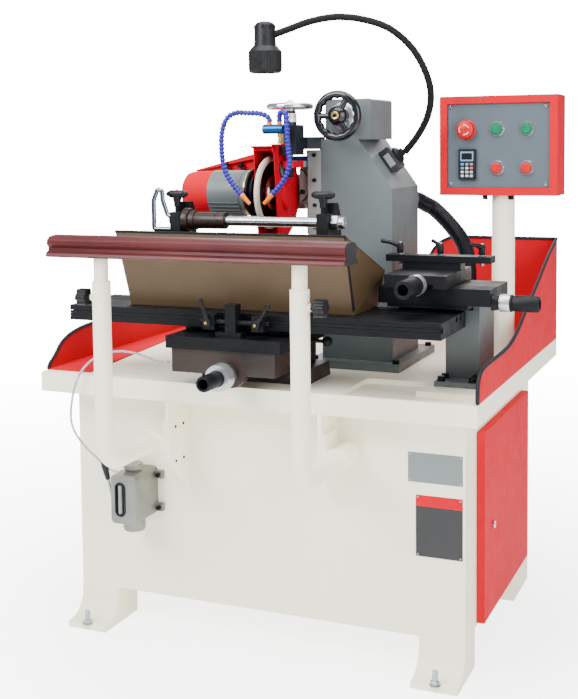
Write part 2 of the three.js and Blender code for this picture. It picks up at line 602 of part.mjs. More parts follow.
// A handwheel: round rim, three spokes and a hub
function spokedWheel(axis, centre, size, hubFrom, hubTo, spokeAt, turn) {
  const torus = new THREE.TorusGeometry(size.radius - size.rim, size.rim, 6, facets.large);
  if (axis === 'y') torus.rotateX(Math.PI / 2);
  const lift = axis === 'y' ? [0, spokeAt, 0] : [0, 0, spokeAt];
  const parts = [torus.translate(...lift)];
  for (let i = 0; i < 3; i += 1) {
    const spoke = new THREE.BoxGeometry(size.radius - size.rim, size.rim * 1.3, size.rim * 0.8);
    spoke.translate((size.radius - size.rim) / 2, 0, 0);
    spoke.rotateZ((2 * Math.PI * i) / 3 + turn);
    if (axis === 'y') spoke.rotateX(Math.PI / 2);
    parts.push(spoke.translate(...lift));
  }
  parts.push(rod(axis, size.hub, hubFrom, hubTo, [0, 0, 0], facets.round));
  return join(...parts).translate(...centre);
}

function frontHandwheel() {
  const back = column.front - wheelA.y;
  const dialBack = back - wheelA.rim - gap * 2;
  const dial = turned('y', [[0, dialBack - wheelA.dialLong], [wheelA.dial * 0.8,
    dialBack - wheelA.dialLong],
    [wheelA.dial, dialBack - wheelA.dialLong * 0.6], [wheelA.dial, dialBack], [0, dialBack]], [0, 0, 0],
      facets.dial);
  const shaft = rod('y', wheelA.shaft, dialBack - sink, back + gearbox.tall / 4, [0, 0, 0], 16);
  const centre = [wheelA.x, wheelA.y, wheelA.z];
  const wheel = spokedWheel('y', [0, 0, 0], wheelA, -wheelA.rim * 1.6, dialBack - wheelA.dialLong + sink,
    0, Math.PI / 3);
  const nut = rod('y', wheelA.hub * 0.6, -wheelA.rim * 3, -wheelA.rim, [0, 0, 0], 6);
  place('front_handwheel', join(wheel, dial, shaft, nut).translate(...centre), blackSteel());
}

// Coarse vertical slide on the column, with the bevel box of the fine feed bridged to it
function coarseSlide() {
  const yMid = (column.front + coarse.back) / 2;
  const right = column.left - gap;
  const body = span(coarse.left, right, column.front, coarse.back, coarse.low, coarse.low + coarse.tall);
  const groove = dovetail(right - way.deep - gap * 2, right + overrun, yMid, way.wide + gap * 3,
    way.neck + gap * 3,
    coarse.low - overrun, coarse.low + coarse.tall + overrun);
  const inner = dovetail(coarse.left - way.deep, coarse.left + sink, yMid, way.wide, way.neck,
    coarse.low, coarse.low + coarse.tall);
  place('coarse_slide', cut(join(body, inner), groove), finish(ground.putty, 0.45, 0.3));
  const low = bridge.low + gap;
  const beam = prism('z', [[bevelBox.left, bevelBox.front], [bevelBox.right, bevelBox.front],
    [bevelBox.right, column.front - bridge.tall / 2], [column.left - gap, column.front],
    [column.left - gap, bridge.back], [coarse.left - way.deep, bridge.back], [coarse.left - way.deep,
      bevelBox.back],
    [bevelBox.left, bevelBox.back]], low, low + bridge.tall);
  const clearWay = dovetail(right - way.deep - gap * 2, right + overrun, yMid, way.wide + gap * 3,
    way.neck + gap * 3,
    low - overrun, low + bridge.tall + overrun);
  const housing = span(bevelBox.left, bevelBox.right, bevelBox.front, bevelBox.back, bevelBox.low,
    bevelBox.top);
  const cap = rod('z', wheelB.hub * 1.2, bevelBox.top - sink, bevelBox.top + bolt.tall, [screw.x, screw.y,
    0]);
  const bore = rod('z', screw.radius + gap, bevelBox.low - overrun, bevelBox.top + overrun * 2, [screw.x,
    screw.y, 0]);
  place('fine_feed_housing', cut(join(housing, cap, cut(beam, clearWay)), bore), finish(ground.navy, 0.4,
    0.2));
}

function topHandwheel() {
  const capTop = bevelBox.top + bolt.tall + gap;
  const wheel = spokedWheel('z', [screw.x, screw.y, 0], wheelB, wheelB.z - wheelB.hub,
    wheelB.z + wheelB.rim * 2,
    wheelB.z, 0);
  const collar = rod('z', wheelB.collar, capTop, capTop + wheelB.collarLong, [screw.x, screw.y, 0]);
  const hub = rod('z', wheelB.hub * 0.8, capTop + wheelB.collarLong - sink, wheelB.z, [screw.x, screw.y,
    0]);
  const shaft = rod('z', screw.radius, screw.bottom, wheelB.z, [screw.x, screw.y, 0]);
  place('top_handwheel', join(wheel, collar, hub, shaft), chromed());
}

// Grinding head: fine slide with its arm, cover, motor, wheel and wheel guard
function headSlide() {
  const yMid = (column.front + coarse.back) / 2;
  const z0 = fine.low;
  const z1 = fine.low + fine.tall;
  const right = coarse.left - gap;
  const body = span(fine.left, right, fine.front, fine.back, z0, z1 + fine.capTall);
  const groove = dovetail(coarse.left - way.deep - gap * 2, coarse.left + overrun, yMid, way.wide + gap * 3,
    way.neck + gap * 3, z0 - overrun, z1 + fine.capTall + overrun);
  const beam = prism('z', [[fine.left + sink, arm.notch], [fine.left + sink, fine.back], [arm.left,
    fine.back],
    [arm.left, arm.inner], [motor.right, arm.inner], [motor.right, arm.notch]], arm.low,
      arm.low + arm.tall);
  const swivel = cut(rod('y', fine.disc, fine.front - fine.discOut, fine.front + sink, [fine.discX, 0,
    fine.discZ],
    facets.wheel), span(fine.discX - fine.disc * 2, fine.left, 0, fine.back, z0 - fine.disc,
      z1 + fine.disc));
  const half = screw.nutWide / 2;
  const nut = cut(span(screw.x - half, screw.x + half, screw.y - half, fine.front + sink, screw.nutLow,
    screw.nutLow + screw.nutTall), rod('z', screw.radius + gap, screw.bottom, bevelBox.low, [screw.x,
      screw.y, 0]));
  const feet = [motor.left + motor.foot, motor.ring - motor.foot].map((x) => span(x - motor.foot / 4,
    x + motor.foot / 4,
    spindle.y + motor.radius + gap, arm.inner + sink, spindle.z - motor.foot, spindle.z + motor.foot / 2));
  place('head_slide', cut(join(cut(join(body, swivel), groove), beam, nut, ...feet), groove), greyPaint());
}

// Cover: a wedge on the arm that slopes down to the motor's far end, with a thin lip at the front
function headCover() {
  const z = arm.low + arm.tall + gap;
  const c = cover;
  const crown = [[c.right, z + c.highEnd], [c.left, z + c.lowEnd]];
  const wedge = prism('y', [[c.left, z], [c.right, z], ...crown], arm.inner, fine.back - gap);
  const lip = prism('y', [[c.left, z + c.lowEnd - c.thin], [c.right, z + c.highEnd - c.thick], ...crown],
    arm.inner - c.overlap, arm.inner + sink);
  place('head_cover', join(wedge, lip), redPaint());
}

// Motor: smooth drum with cooling fins along its underside, fan cap at the far end and a stepped flange
function motorBody() {
  const m = motor;
  const centre = [0, spindle.y, spindle.z];
  const seam = m.left + m.capLong;
  const drum = rod('x', m.radius, seam - sink, m.ring + sink, centre, facets.wheel);
  const fins = Array.from({ length: m.fins }, (_, i) => {
    const fin = new THREE.BoxGeometry(m.ring - seam + 2 * sink, m.fin * 2, m.fin);
    fin.translate((m.ring + seam) / 2, m.radius, 0);
    return fin.rotateX(-Math.PI * (finShares.first + (finShares.spread * i) / (m.fins - 1))).translate(...centre);
  });
  const cap = turned('x', [[0, m.left], [m.radius * 0.62, m.left], [m.radius * 0.86,
    m.left + m.capLong * 0.08],
    [m.radius * 0.95, m.left + m.capLong * 0.25], [m.radius * 0.97, seam], [0, seam]], centre,
      facets.large);
  const flange = turned('x', [[0, m.ring], [m.flange * 0.94, m.ring], [m.flange, m.ring + bolt.tall],
    [m.flange, m.right - bolt.tall], [m.flange * 0.7, m.right], [0, m.right]], centre, facets.large);
  const bore = rod('x', spindle.radius + gap, m.ring - m.foot, m.right + overrun, centre);
  place('grinding_motor', cut(join(drum, cap, flange, ...fins), bore), finish(ground.darkGrey, 0.45, 0.2));
}

function wheelAndSpindle() {
  const c = [0, spindle.y, spindle.z];
  const s = stone;
  const left = s.x - s.wide / 2;
  const right = s.x + s.wide / 2;
  place('grinding_wheel', turned('x', [[spindle.radius + gap, left], [s.radius - s.bevel * 2, left],
    [s.radius - s.bevel, left + s.bevel / 3], [s.radius, s.x - s.wide / 6], [s.radius, s.x + s.wide / 6],
    [s.radius - s.bevel, right - s.bevel / 3], [s.radius - s.bevel * 2, right],
    [spindle.radius + gap, right], [spindle.radius + gap, left]], c, facets.wheel), finish(ground.stone,
      0.85, 0));
  const back = left - gap;
  const front = right + gap;
  const nutTip = hood.right - hood.sheet - gap * 2;
  place('wheel_spindle', turned('x', [[0, motor.ring - motor.foot * 0.8], [spindle.radius,
    motor.ring - motor.foot * 0.8],
    [spindle.radius, back - spindle.flangeThick], [spindle.flange, back - spindle.flangeThick],
      [spindle.flange, back],
    [spindle.radius, back], [spindle.radius, front], [spindle.flange, front], [spindle.flange * 0.9,
      front + spindle.flangeThick / 2],
    [spindle.nut, front + spindle.flangeThick / 2], [spindle.nut, nutTip], [0, nutTip]], c, facets.round),
      bareSteel());
}

// Wheel guard: a D-shaped hood, open in front, with an oval inspection boss on its right cheek
function guardOutline(grow, mouth) {
  const r = hood.radius - grow;
  const shape = new THREE.Shape();
  const front = mouth ? -hood.radius * 1.4 : -hood.topLead;
  const low = mouth ? -hood.radius * 1.4 : -hood.bottomLead;
  const high = Math.acos(-hood.topLead / r);
  const bottom = -Math.acos(-hood.bottomLead / r);
  shape.moveTo(spindle.y + low, spindle.z + r * Math.sin(bottom));
  shape.absarc(spindle.y, spindle.z, r, bottom, high, false);
  shape.lineTo(spindle.y + front, spindle.z + r * Math.sin(high));
  shape.closePath();
  return shape;
}

function wheelGuard() {
  const outer = prism('x', guardOutline(0, false), hood.left, hood.right, 12);
  const inside = prism('x', guardOutline(hood.sheet, true), hood.left + hood.sheet,
    hood.right - hood.sheet, 12);
  const lip = prism('x', [[spindle.y - hood.topLead - hood.sheet * 5, spindle.z + hood.radius * 0.99],
    [spindle.y - hood.topLead + hood.sheet * 3, spindle.z + hood.radius * 0.925],
    [spindle.y - hood.topLead + hood.sheet * 3, spindle.z + hood.radius * 0.95],
    [spindle.y - hood.topLead - hood.sheet * 5, spindle.z + hood.radius * 0.99 + hood.sheet]], hood.left,
      hood.right);
  const hub = rod('x', spindle.flange * 0.8, hood.left - overrun, hood.left + hood.sheet + overrun, [0,
    spindle.y, spindle.z], 20);
  const cap = turned('x', [[0, -sink], [hood.boss, -sink], [hood.boss, hood.bossOut * 0.5],
    [hood.boss * 0.8, hood.bossOut], [0, hood.bossOut]], [hood.right, spindle.y + hood.boss,
      spindle.z - hood.boss / 3]);
  const ear = span(hood.right - hood.sheet, hood.right, lug.front, lug.back, lug.low, lug.top);
  const shelf = span(hood.right - hood.sheet, lug.out, lug.shelfFront, lug.shelfBack,
    lug.top - hood.sheet, lug.top);
  place('wheel_guard', join(cut(outer, inside, hub), lip, cap, ear, shelf), redPaint());
}

// Coolant block on a fitting that stands on the guard's lug, with two jointed hoses that hold their shape
const hoseLeftRoute = [[-16, 190, 1334], [-34, 186, 1339], [-58, 180, 1340], [-90, 176, 1341], [-110, 173,
  1331],
  [-122, 170, 1310], [-127, 168, 1283], [-127, 167, 1245], [-123, 166, 1214], [-113, 165, 1186], [-93,
    163, 1159],
  [-69, 160, 1135]];
const hoseRightRoute = [[25, 189, 1336], [32, 186, 1341], [42, 182, 1338], [47, 180, 1319], [50, 176, 1281],
  [55, 172, 1243], [59, 169, 1217], [55, 167, 1194], [40, 163, 1164], [16, 159, 1137]];

function jointedHose(x, route) {
  const z = block.z + block.radius + block.portTall + gap;
  const rise = [0, hose.radius].map((up) => at(x, block.y, z + up));
  const curve = new THREE.CatmullRomCurve3([...rise, ...route.map((p) => at(...p))], false, 'centripetal');
  const segments = Math.round(curve.getLength() / hose.pitch);
  const path = curve.getSpacedPoints(segments * 2);
  const rings = carried(path).map((frame, i) => circleAt(frame, i % 2 ? hose.radius : hose.waist,
    facets.thin));
  const end = path.at(-1);
  const ahead = end.clone().sub(path.at(-2)).normalize();
  const tip = [end.clone().addScaledVector(ahead, hose.nozzleLong / 4), end.clone().addScaledVector(ahead,
    hose.nozzleLong)];
  const last = carried([path.at(-2), end, ...tip]);
  rings.push(circleAt(last[2], hose.nozzle, facets.thin), circleAt(last[3], hose.tip, facets.thin));
  return skin(rings);
}

function coolant() {
  const b = block;
  const barrel = rod('x', b.radius, b.left, b.right, [0, b.y, b.z]);
  const risers = [b.leftPort, b.rightPort].map((x) => rod('z', b.port, b.z, b.z + b.radius + b.portTall,
    [x, b.y, 0],
    facets.small));
  const stem = rod('z', b.stem, lug.top + gap, b.z, [b.stemX, b.stemY, 0], facets.small);
  place('coolant_block', join(barrel, stem, ...risers), finish(ground.blue, 0.3, 0.8));
  place('coolant_hose_left', jointedHose(b.leftPort, hoseLeftRoute), finish(ground.violet, 0.4, 0));
  place('coolant_hose_right', jointedHose(b.rightPort, hoseRightRoute), finish(ground.violet, 0.4, 0));
}

// Cross slide: fixed base with a dovetail, sliding saddle and infeed knob
function crossDovetail(grow, from, to, low, top) {
  const mid = (crossBase.left + crossBase.right) / 2;
  const wide = (crossBase.right - crossBase.left) * 0.28;
  return prism('y', [[mid - wide + (top - low) * 0.5 - grow, low], [mid + wide - (top - low) * 0.5 + grow,
    low],
    [mid + wide + grow, top], [mid - wide - grow, top]], from, to);
}

function crossSlide() {
  const foot = slab.top + gap;
  const b = crossBase;
  const f = crossFoot;
  const boss = rod('y', infeed.dial * 1.15, b.front, b.front + infeed.dial, [infeed.x, 0, infeed.z]);
  const dove = crossDovetail(0, b.front + infeed.dial, b.back, b.top - sink, b.top + saddle.thick * 0.4);
  const lube = rod('x', oilLine.union, -oilLine.unionLong, sink, [b.left, b.front + infeed.dial,
    b.low + oilLine.unionLong], 10);
  const bore = rod('y', infeed.shaft + gap, b.front - overrun, b.front + infeed.dial * 2, [infeed.x, 0,
    infeed.z], 16);
  const footBody = prism('x', [[f.front, foot], [f.back, foot], [f.back - bolt.head, b.low + sink],
    [f.front + bolt.head / 2, b.low + sink]],
    f.left, f.right);
  const bolts = [f.left + bolt.head, f.right - bolt.head].map((x) => hexHead('y', [x, 0,
    foot + bolt.head], f.front - bolt.tall / 2,
    f.front + bolt.head));
  place('cross_slide_base', cut(join(span(b.left, b.right, b.front, b.back, b.low, b.top), footBody, boss,
    dove, lube, ...bolts), bore),
    finish(ground.brown, 0.5, 0.3));
  const z0 = b.top + gap;
  const z1 = z0 + saddle.thick;
  const s = saddle;
  const plateBody = span(s.left, s.right, s.front, s.back, z0, z1);
  const guide = span(s.left, s.right, s.guideFront, s.guideBack, z1 - sink, table.low - gap);
  const groove = crossDovetail(gap * 2, s.front - overrun, s.back + overrun, b.top - sink,
    b.top + s.thick * 0.4 + gap);
  const p = stopPost;
  const x = (p.left + p.right) / 2;
  const stops = [stopBlock.leftX, stopBlock.rightX].map((c) => span(c - stopBlock.wide / 2,
    c + stopBlock.wide / 2,
    p.front + gap * 4, p.back - gap * 4, stopBlock.low, stopBlock.low + stopBlock.tall));
  const mid = (p.front + p.back) / 2;
  const lockBall = new THREE.SphereGeometry(lockRod.ball, 12, 8).translate(s.right + lockRod.long,
    lockRod.y, lockRod.z);
  place('cross_slide', join(cut(join(plateBody, guide), groove), span(p.left - p.foot * 2,
    p.right + p.foot, p.front, p.back, z1 - sink, z1 + p.foot),
    span(p.left, p.right, p.front, p.back, z1, p.top), rod('x', stopRod.radius, stopRod.left - x,
      stopRod.right - x, [x, mid, stopRod.z], 14),
    ...stops, rod('x', lockRod.radius, -sink, lockRod.long, [s.right, lockRod.y, lockRod.z], 12),
      lockBall), blackSteel());
  const k = infeed;
  place('infeed_knob', turned('y', [[0, k.front + k.deep], [k.hollow, k.front + k.deep], [k.hollow,
    k.front], [k.barrel * 0.92, k.front],
    [k.barrel, k.front + sink * 2], [k.barrel, k.dialFront - sink * 4], [k.dial * 0.8, k.dialFront],
      [k.dial, k.dialFront + sink * 6],
    [k.dial, k.dialFront + k.dial], [k.barrel, k.dialFront + k.dial], [k.barrel, b.front - gap], [k.shaft,
      b.front - gap],
    [k.shaft, b.front + k.dial], [0, b.front + k.dial]], [k.x, 0, k.z]), bareSteel());
}

function stopLevers() {
  const y = stopPost.front - stopLever.eye * 0.4 - gap;
  for (const [word, x, lean] of [['left', stopBlock.leftX, -stopLever.leftDegrees],
    ['right', stopBlock.rightX, stopLever.rightDegrees]]) {
    const eye = rod('y', stopLever.eye, -stopLever.eye * 0.4, stopLever.eye * 0.4, [0, 0, 0], 16);
    const grip = turned('z', [[0, 0], [stopLever.radius, 0], [stopLever.radius, stopLever.long * 0.42],
      [stopLever.tip, stopLever.long * 0.55], [stopLever.tip, stopLever.long],
      [0, stopLever.long + stopLever.tip / 2]], [0, 0, 0], 12);
    grip.rotateY(THREE.MathUtils.degToRad(lean));
    place(`stop_lever_${word}`, join(eye, grip).translate(x, y, stopRod.z), blackPlastic());
  }
}

// Long table: slotted bar that carries the tray and the arbor
function longTable() {
  const t = table;
  const z1 = t.low + t.tall;
  const mid = t.low + t.tall * 0.55;
  const outline = [[t.front, t.low], [t.back, t.low], [t.back, z1],
    ...tSlotTop(t.back - (t.back - t.front) * 0.22, z1),
    ...tSlotTop(t.front + (t.back - t.front) * 0.62, z1), [t.front, z1], [t.front, mid + slot.mouth / 2],
    [t.front + slot.lip, mid + slot.mouth / 2], [t.front + slot.lip, mid + slot.throat / 2],
      [t.front + slot.depth, mid + slot.throat / 2],
    [t.front + slot.depth, mid - slot.throat / 2], [t.front + slot.lip, mid - slot.throat / 2],
      [t.front + slot.lip, mid - slot.mouth / 2],
    [t.front, mid - slot.mouth / 2]];
  place('long_table', prism('x', outline, t.left, t.right), blackSteel());
}

function tSlotTop(y, z1) {
  const m = slot.mouth / 2;
  const w = slot.throat / 2;
  return [[y + m, z1], [y + m, z1 - slot.lip], [y + w, z1 - slot.lip], [y + w, z1 - slot.depth],
    [y - w, z1 - slot.depth], [y - w, z1 - slot.lip], [y - m, z1 - slot.lip], [y - m, z1]];
}

// Drip tray: sheet tub with a leaning front, sides that fall to the back and a low back lip
function dripTray() {
  const z = table.low + table.tall + gap;
  const t = tank;
  const tub = (inset) => {
    const [x0, x1, y0, y1] = [t.left + inset, t.right - inset, t.front + inset, t.back - inset];
    const floor = z + inset;
    const over = inset ? overrun * 4 : 0;
    const [high, low] = [z + t.frontTall + over, z + t.backTall + over];
    return eightCorners(
      at(x0, y0, floor), at(x1, y0, floor), at(x1, y1, floor), at(x0, y1, floor),
      at(x0 - t.flareLeft, y0 - t.frontOut, high), at(x1 - t.drawIn, y0 - t.frontOut, high),
      at(x1 + t.flareBack, y1, low), at(x0 - t.flareBack, y1, low),
    );
  };
  const backCut = span(t.left + t.sheet * 2, t.right - t.sheet * 2, t.back - t.sheet - overrun,
    t.back + overrun, z + t.backLip, z + t.frontTall * 2);
  place('drip_tray', cut(tub(0), tub(t.sheet), backCut), finish(ground.tan, 0.5, 0));
}

// A closed body through four corners below and four above, both counter-clockwise from above
function eightCorners(...corners) {
  const geometry = new THREE.BufferGeometry();
  geometry.setAttribute('position', new THREE.Float32BufferAttribute(corners.flatMap((p) => [p.x, p.y,
    p.z]), 3));
  geometry.setIndex([0, 2, 1, 0, 3, 2, 4, 5, 6, 4, 6, 7, 0, 1, 5, 0, 5, 4, 1, 2, 6, 1, 6, 5, 2, 3, 7, 2,
    7, 6, 3, 0, 4, 3, 4, 7]);
  return geometry;
}

// Work arbor in two split brackets, each pinched by a T-handle screw in front of the bar
function arborBracket(from, to) {
  const low = table.low + table.tall + gap + tank.sheet + gap;
  const b = bracket;
  const waist = (low + b.top) / 2;
  const outline = [[tank.front + tank.sheet * 2, low], [b.heel, low], [b.heel, low + clamp.stem], [b.back,
    waist],
    [b.back, b.shoulder], [b.lugBack, b.lugTop], [b.lugFront, b.lugTop], [b.lugFront, b.top], [b.front,
      b.top],
    [b.front, waist]];
  return cut(prism('x', outline, from, to),
    rod('x', arbor.bar + gap, from - overrun, to + overrun, [0, arbor.y, arbor.z]),
    rod('z', clamp.screw + gap, arbor.z, b.top + overrun, [(from + to) / 2 - clamp.aside, arbor.y, 0]));
}

function arborClamp(from, to) {
  const c = clamp;
  const spot = [(from + to) / 2 - c.aside, arbor.y, 0];
  const base = bracket.top + gap;
  const high = base + c.rise;
  const bar = turned('x', [[0, -c.half], [c.bar * 0.6, -c.half], [c.bar, -c.half * 0.8], [c.bar,
    c.half * 0.8],
    [c.bar * 0.6, c.half], [0, c.half]], [spot[0], spot[1], high + c.bar * 0.8], 12);
  return join(rod('z', c.screw, arbor.z + arbor.bar + c.spare, base + sink, spot), rod('z', c.stem, base,
    high + sink * 2, spot), bar);
}

function workArbor() {
  const a = arbor;
  const b = bracket;
  const face = b.leftB + gap * 2;
  const nut = b.rightB + gap * 2;
  const thick = (a.face - face) / 2;
  place('work_arbor', turned('x', [[0, b.leftA - a.bar], [a.bar, b.leftA - a.bar], [a.bar, face], [a.disc,
    face],
    [a.disc, face + thick], [a.hub, face + thick], [a.hub, a.face], [a.sleeve, a.face], [a.sleeve,
      a.sleeveEnd],
    [a.bar, a.sleeveEnd], [a.bar, nut], [a.nut, nut], [a.nut, nut + a.nutLong], [a.step, nut + a.nutLong],
    [a.step, a.end], [0, a.end]], [0, a.y, a.z]), bareSteel());
  const x = b.leftA + sink;
  const corners = bailShares.map(([left, up]) => at(x - left * (bail.out + sink), bail.y,
    a.z + up * bail.rise));
  const loop = pipe(rounded(corners, bail.bend, 2), bail.radius, facets.thin);
  place('arbor_bracket_left', join(arborBracket(b.leftA, b.leftB), loop), blackSteel());
  place('arbor_bracket_right', arborBracket(b.rightA, b.rightB), blackSteel());
  place('arbor_clamp_left', arborClamp(b.leftA, b.leftB), blackSteel());
  place('arbor_clamp_right', arborClamp(b.rightA, b.rightB), blackSteel());
}

// Template stand: pedestal, two crossed slides with micrometer knobs, and the template plate
function templateStand() {
  const foot = slab.top + gap;
  const p = pedestal;
  const baseTop = foot + standBase.thick;
  const heads = [];
  for (const x of [standBase.left + bolt.head, standBase.right - bolt.head]) {
    heads.push(hexHead('z', [x, standBase.front + bolt.head * 1.5, 0], baseTop - sink,
      baseTop + bolt.tall));
  }
  const g = seat;
  const guide = span(g.left, g.right, g.guideFront, g.guideBack, p.top + g.tall - sink,
    p.top + g.tall + lower.rail);
  place('template_pedestal', join(span(standBase.left, standBase.right, standBase.front, standBase.back,
    foot, baseTop),
    prism('y', [[p.left - p.left * 0.02, baseTop - sink], [p.right + p.left * 0.02, baseTop - sink],
      [p.right, baseTop + bolt.head * 2],
      [p.right, p.top + sink], [p.left, p.top + sink], [p.left, baseTop + bolt.head * 2]], p.front, p.back),
    span(g.left, g.right, g.front, g.back, p.top, p.top + g.tall), guide, ...heads),
      finish(ground.darkGrey, 0.45, 0.3));
  const lowZ = p.top + g.tall + gap;
  const l = lower;
  const channel = span(l.left - overrun, l.right + overrun, g.guideFront - gap, g.guideBack + gap,
    lowZ - overrun,
    lowZ + l.rail + gap);
  const { low: knobLow } = knobPlaces();
  const boss = turned('x', [[0, l.right - sink], [l.boss, l.right - sink], [l.boss * 0.8,
    l.right + l.bossLong],
    [0, l.right + l.bossLong]], [0, knobLow.y, knobLow.z]);
  const lowTop = lowZ + l.tall;
  const u = upper;
  const crossGuide = span(u.left + u.tall, u.right - u.tall, l.front, l.back, lowTop - sink,
    lowTop + l.rail - gap);
  place('template_lower_slide', join(cut(span(l.left, l.right, l.front, l.back, lowZ, lowTop), channel),
    crossGuide, boss),
    blackSteel());
  const upLow = lowTop + gap;
  const upTop = upLow + u.tall;
  const cutGuide = span(u.left + u.tall - gap, u.right - u.tall + gap, u.front - overrun,
    u.back + overrun, upLow - overrun, lowTop + l.rail);
  place('template_upper_slide', cut(span(u.left, u.right, u.front, u.back, upLow, upTop), cutGuide),
    blackSteel());
  const top = plate.low + plate.tall;
  const holes = leverDegrees.map((_, n) => rod('z', leverRow.stud + gap, upTop, top + overrun,
    [leverRow.first + n * leverRow.step, leverRow.y, 0]));
  place('template_plate', cut(join(span(plate.left, plate.right, plate.front, plate.back, plate.low, top),
    span(riser.left, riser.right, riser.front, plate.back, upTop + gap, plate.low + sink)), ...holes),
      blackSteel());
}

// Micrometer knob: graduated dial and hollow barrel, turned about its slide's screw
function microKnob(axis, face, direction, long, [x, y, z]) {
  const m = micro;
  const start = face + direction * gap;
  const end = start + direction * m.dialLong;
  const tip = end + direction * long;
  const profile = [[0, start], [m.dial, start], [m.dial, end], [m.barrel, end], [m.barrel,
    tip - direction * sink * 2],
    [m.barrel * 0.9, tip], [m.hollow, tip], [m.hollow, tip - direction * m.deep], [0,
      tip - direction * m.deep]];
  return turned(axis, direction < 0 ? profile.reverse() : profile, [x, y, z]);
}

// Axes of the two screws: the lower one runs along X, the upper one along Y
function knobPlaces() {
  const lowZ = pedestal.top + seat.tall + gap;
  const upLow = lowZ + lower.tall + gap;
  return {
    low: at(0, lower.front + lower.screwIn, lowZ + lower.screwUp),
    up: at(upper.left + upper.screwIn, 0, upLow + upper.screwUp),
  };
}

function templateKnobs() {
  const { low, up } = knobPlaces();
  const face = lower.right + lower.bossLong;
  place('lower_slide_knob', microKnob('x', face, 1, micro.longX, low.toArray()), blackSteel());
  place('upper_slide_knob', microKnob('y', upper.front, -1, micro.longY, up.toArray()), blackSteel());
}

// Clamp levers: a stud through the plate, a tall boss and a tapered handle
function clampLevers() {
  const l = leverRow;
  const z = plate.low + plate.tall + gap;
  leverDegrees.forEach((degrees, i) => {
    const foot = -plate.tall - gap - l.studDown;
    const hub = turned('z', [[0, foot], [l.stud, foot], [l.stud, 0], [l.boss, 0], [l.boss, l.bossTall],
      [0, l.bossTall]],
      [0, 0, 0]);
    const handle = turned('x', [[0, 0], [l.arm, 0], [l.arm, l.long * 0.4], [l.grip, l.long * 0.65],
      [l.grip * 0.8, l.long], [0, l.long]], [0, 0, 0], 12);
    handle.rotateY(-Math.PI / 20);
    handle.rotateZ(THREE.MathUtils.degToRad(degrees));
    handle.translate(0, 0, l.bossTall * 0.85);
    place(`plate_clamp_lever_${i + 1}`, join(hub, handle).translate(l.first + i * l.step, l.y, z),
      blackSteel());
  });
}

// Lubricator: cast body with ears, filler cap, cup below, sight recess and hand lever
function lubricator() {
  const o = oiler;
  const back = cabinet.front - gap;
  const [x0, x1] = [o.x - o.half, o.x + o.half];
  const round = new THREE.Shape();
  const r = o.half / 3;
  round.moveTo(x0 + r, o.low);
  round.lineTo(x1 - r, o.low);
  round.absarc(x1 - r, o.low + r, r, -Math.PI / 2, 0);
  round.lineTo(x1, o.top - r);
  round.absarc(x1 - r, o.top - r, r, 0, Math.PI / 2);
  round.lineTo(x0 + r, o.top);
  round.absarc(x0 + r, o.top - r, r, Math.PI / 2, Math.PI);
  round.lineTo(x0, o.low + r);
  round.absarc(x0 + r, o.low + r, r, Math.PI, 1.5 * Math.PI);
  const body = prism('y', round, o.front, back, 4);
  const ears = [o.low + o.ear, o.top - o.ear].map((z) => span(x0 - o.ear, x1 + o.ear, back - o.earThick,
    back, z - o.ear / 2, z + o.ear / 2));
  const cupMid = oilCup.y;
  const cap = turned('z', [[0, o.top - sink], [oilCap.radius * 0.8, o.top - sink], [oilCap.radius * 0.8,
    o.top + oilCap.tall * 0.3],
    [oilCap.radius, o.top + oilCap.tall * 0.4], [oilCap.radius, o.top + oilCap.tall * 0.9], [0,
      o.top + oilCap.tall]], [o.x, cupMid, 0]);
  const cup = turned('z', [[0, o.low - oilCup.drop], [oilCup.radius * 0.9, o.low - oilCup.drop],
    [oilCup.radius, o.low - oilCup.drop * 0.8],
    [oilCup.radius, o.low + sink], [0, o.low + sink]], [o.x, cupMid, 0]);
  const oval = new THREE.Shape();
  const half = sight.wide / 2;
  const reach = sight.tall / 2 - half;
  const zMid = (o.low + o.top) / 2;
  oval.absarc(sight.x, zMid + reach, half, 0, Math.PI);
  oval.absarc(sight.x, zMid - reach, half, Math.PI, 2 * Math.PI);
  oval.closePath();
  const window = prism('y', oval, o.front - overrun, o.front + sight.deep, 8);
  const outlet = rod('x', oilLine.union, -oilLine.unionLong, sink, [x0, oilEnds().pump.y,
    oilEnds().pump.z], 10);
  const l = oilLever;
  const pivot = rod('x', l.eye * 0.5, l.x + l.thick / 2 + gap, x0 + sink, [0, l.y, l.z], 12);
  place('oil_pump_body', cut(join(body, ...ears, cap, cup, outlet, pivot), window), finish(ground.steel,
    0.45, 0.8));
  const eye = rod('x', l.eye, -l.thick / 2, l.thick / 2, [0, 0, 0], 16);
  const grip = turned('z', [[0, 0], [l.arm, 0], [l.arm, l.long - l.gripLong], [l.grip * 0.7,
    l.long - l.gripLong], [l.grip, l.long - l.gripLong * 0.2],
    [l.grip * 0.6, l.long], [0, l.long]], [0, 0, 0], 12);
  grip.rotateX(THREE.MathUtils.degToRad(l.leanDegrees));
  place('oil_pump_lever', join(eye, grip).translate(l.x, l.y, l.z), blackSteel());
}

// Where the oil line leaves the pump and enters the cross slide
function oilEnds() {
  return {
    pump: at(oiler.x - oiler.half - oilLine.unionLong - gap, oilCup.y + oiler.ear,
      oiler.top - oiler.ear * 0.8),
    slide: at(crossBase.left - oilLine.unionLong - gap, crossBase.front + infeed.dial,
      crossBase.low + oilLine.unionLong),
  };
}

// Route of the oil line between its two ends, chosen by hand
const oilRoute = [[-384, 51, 421], [-394, 51, 422], [-414, 50, 430], [-440, 46, 452], [-468, 34, 484],
  [-484, 16, 520], [-484, -4, 560],
  [-474, -16, 604], [-460, -22, 648], [-444, -18, 688], [-424, -4, 716], [-398, 14, 733], [-366, 26, 741],
    [-330, 28, 742],
  [-292, 22, 738], [-256, 12, 732], [-226, -4, 729], [-206, -8, 730], [-194, -8, 730]];

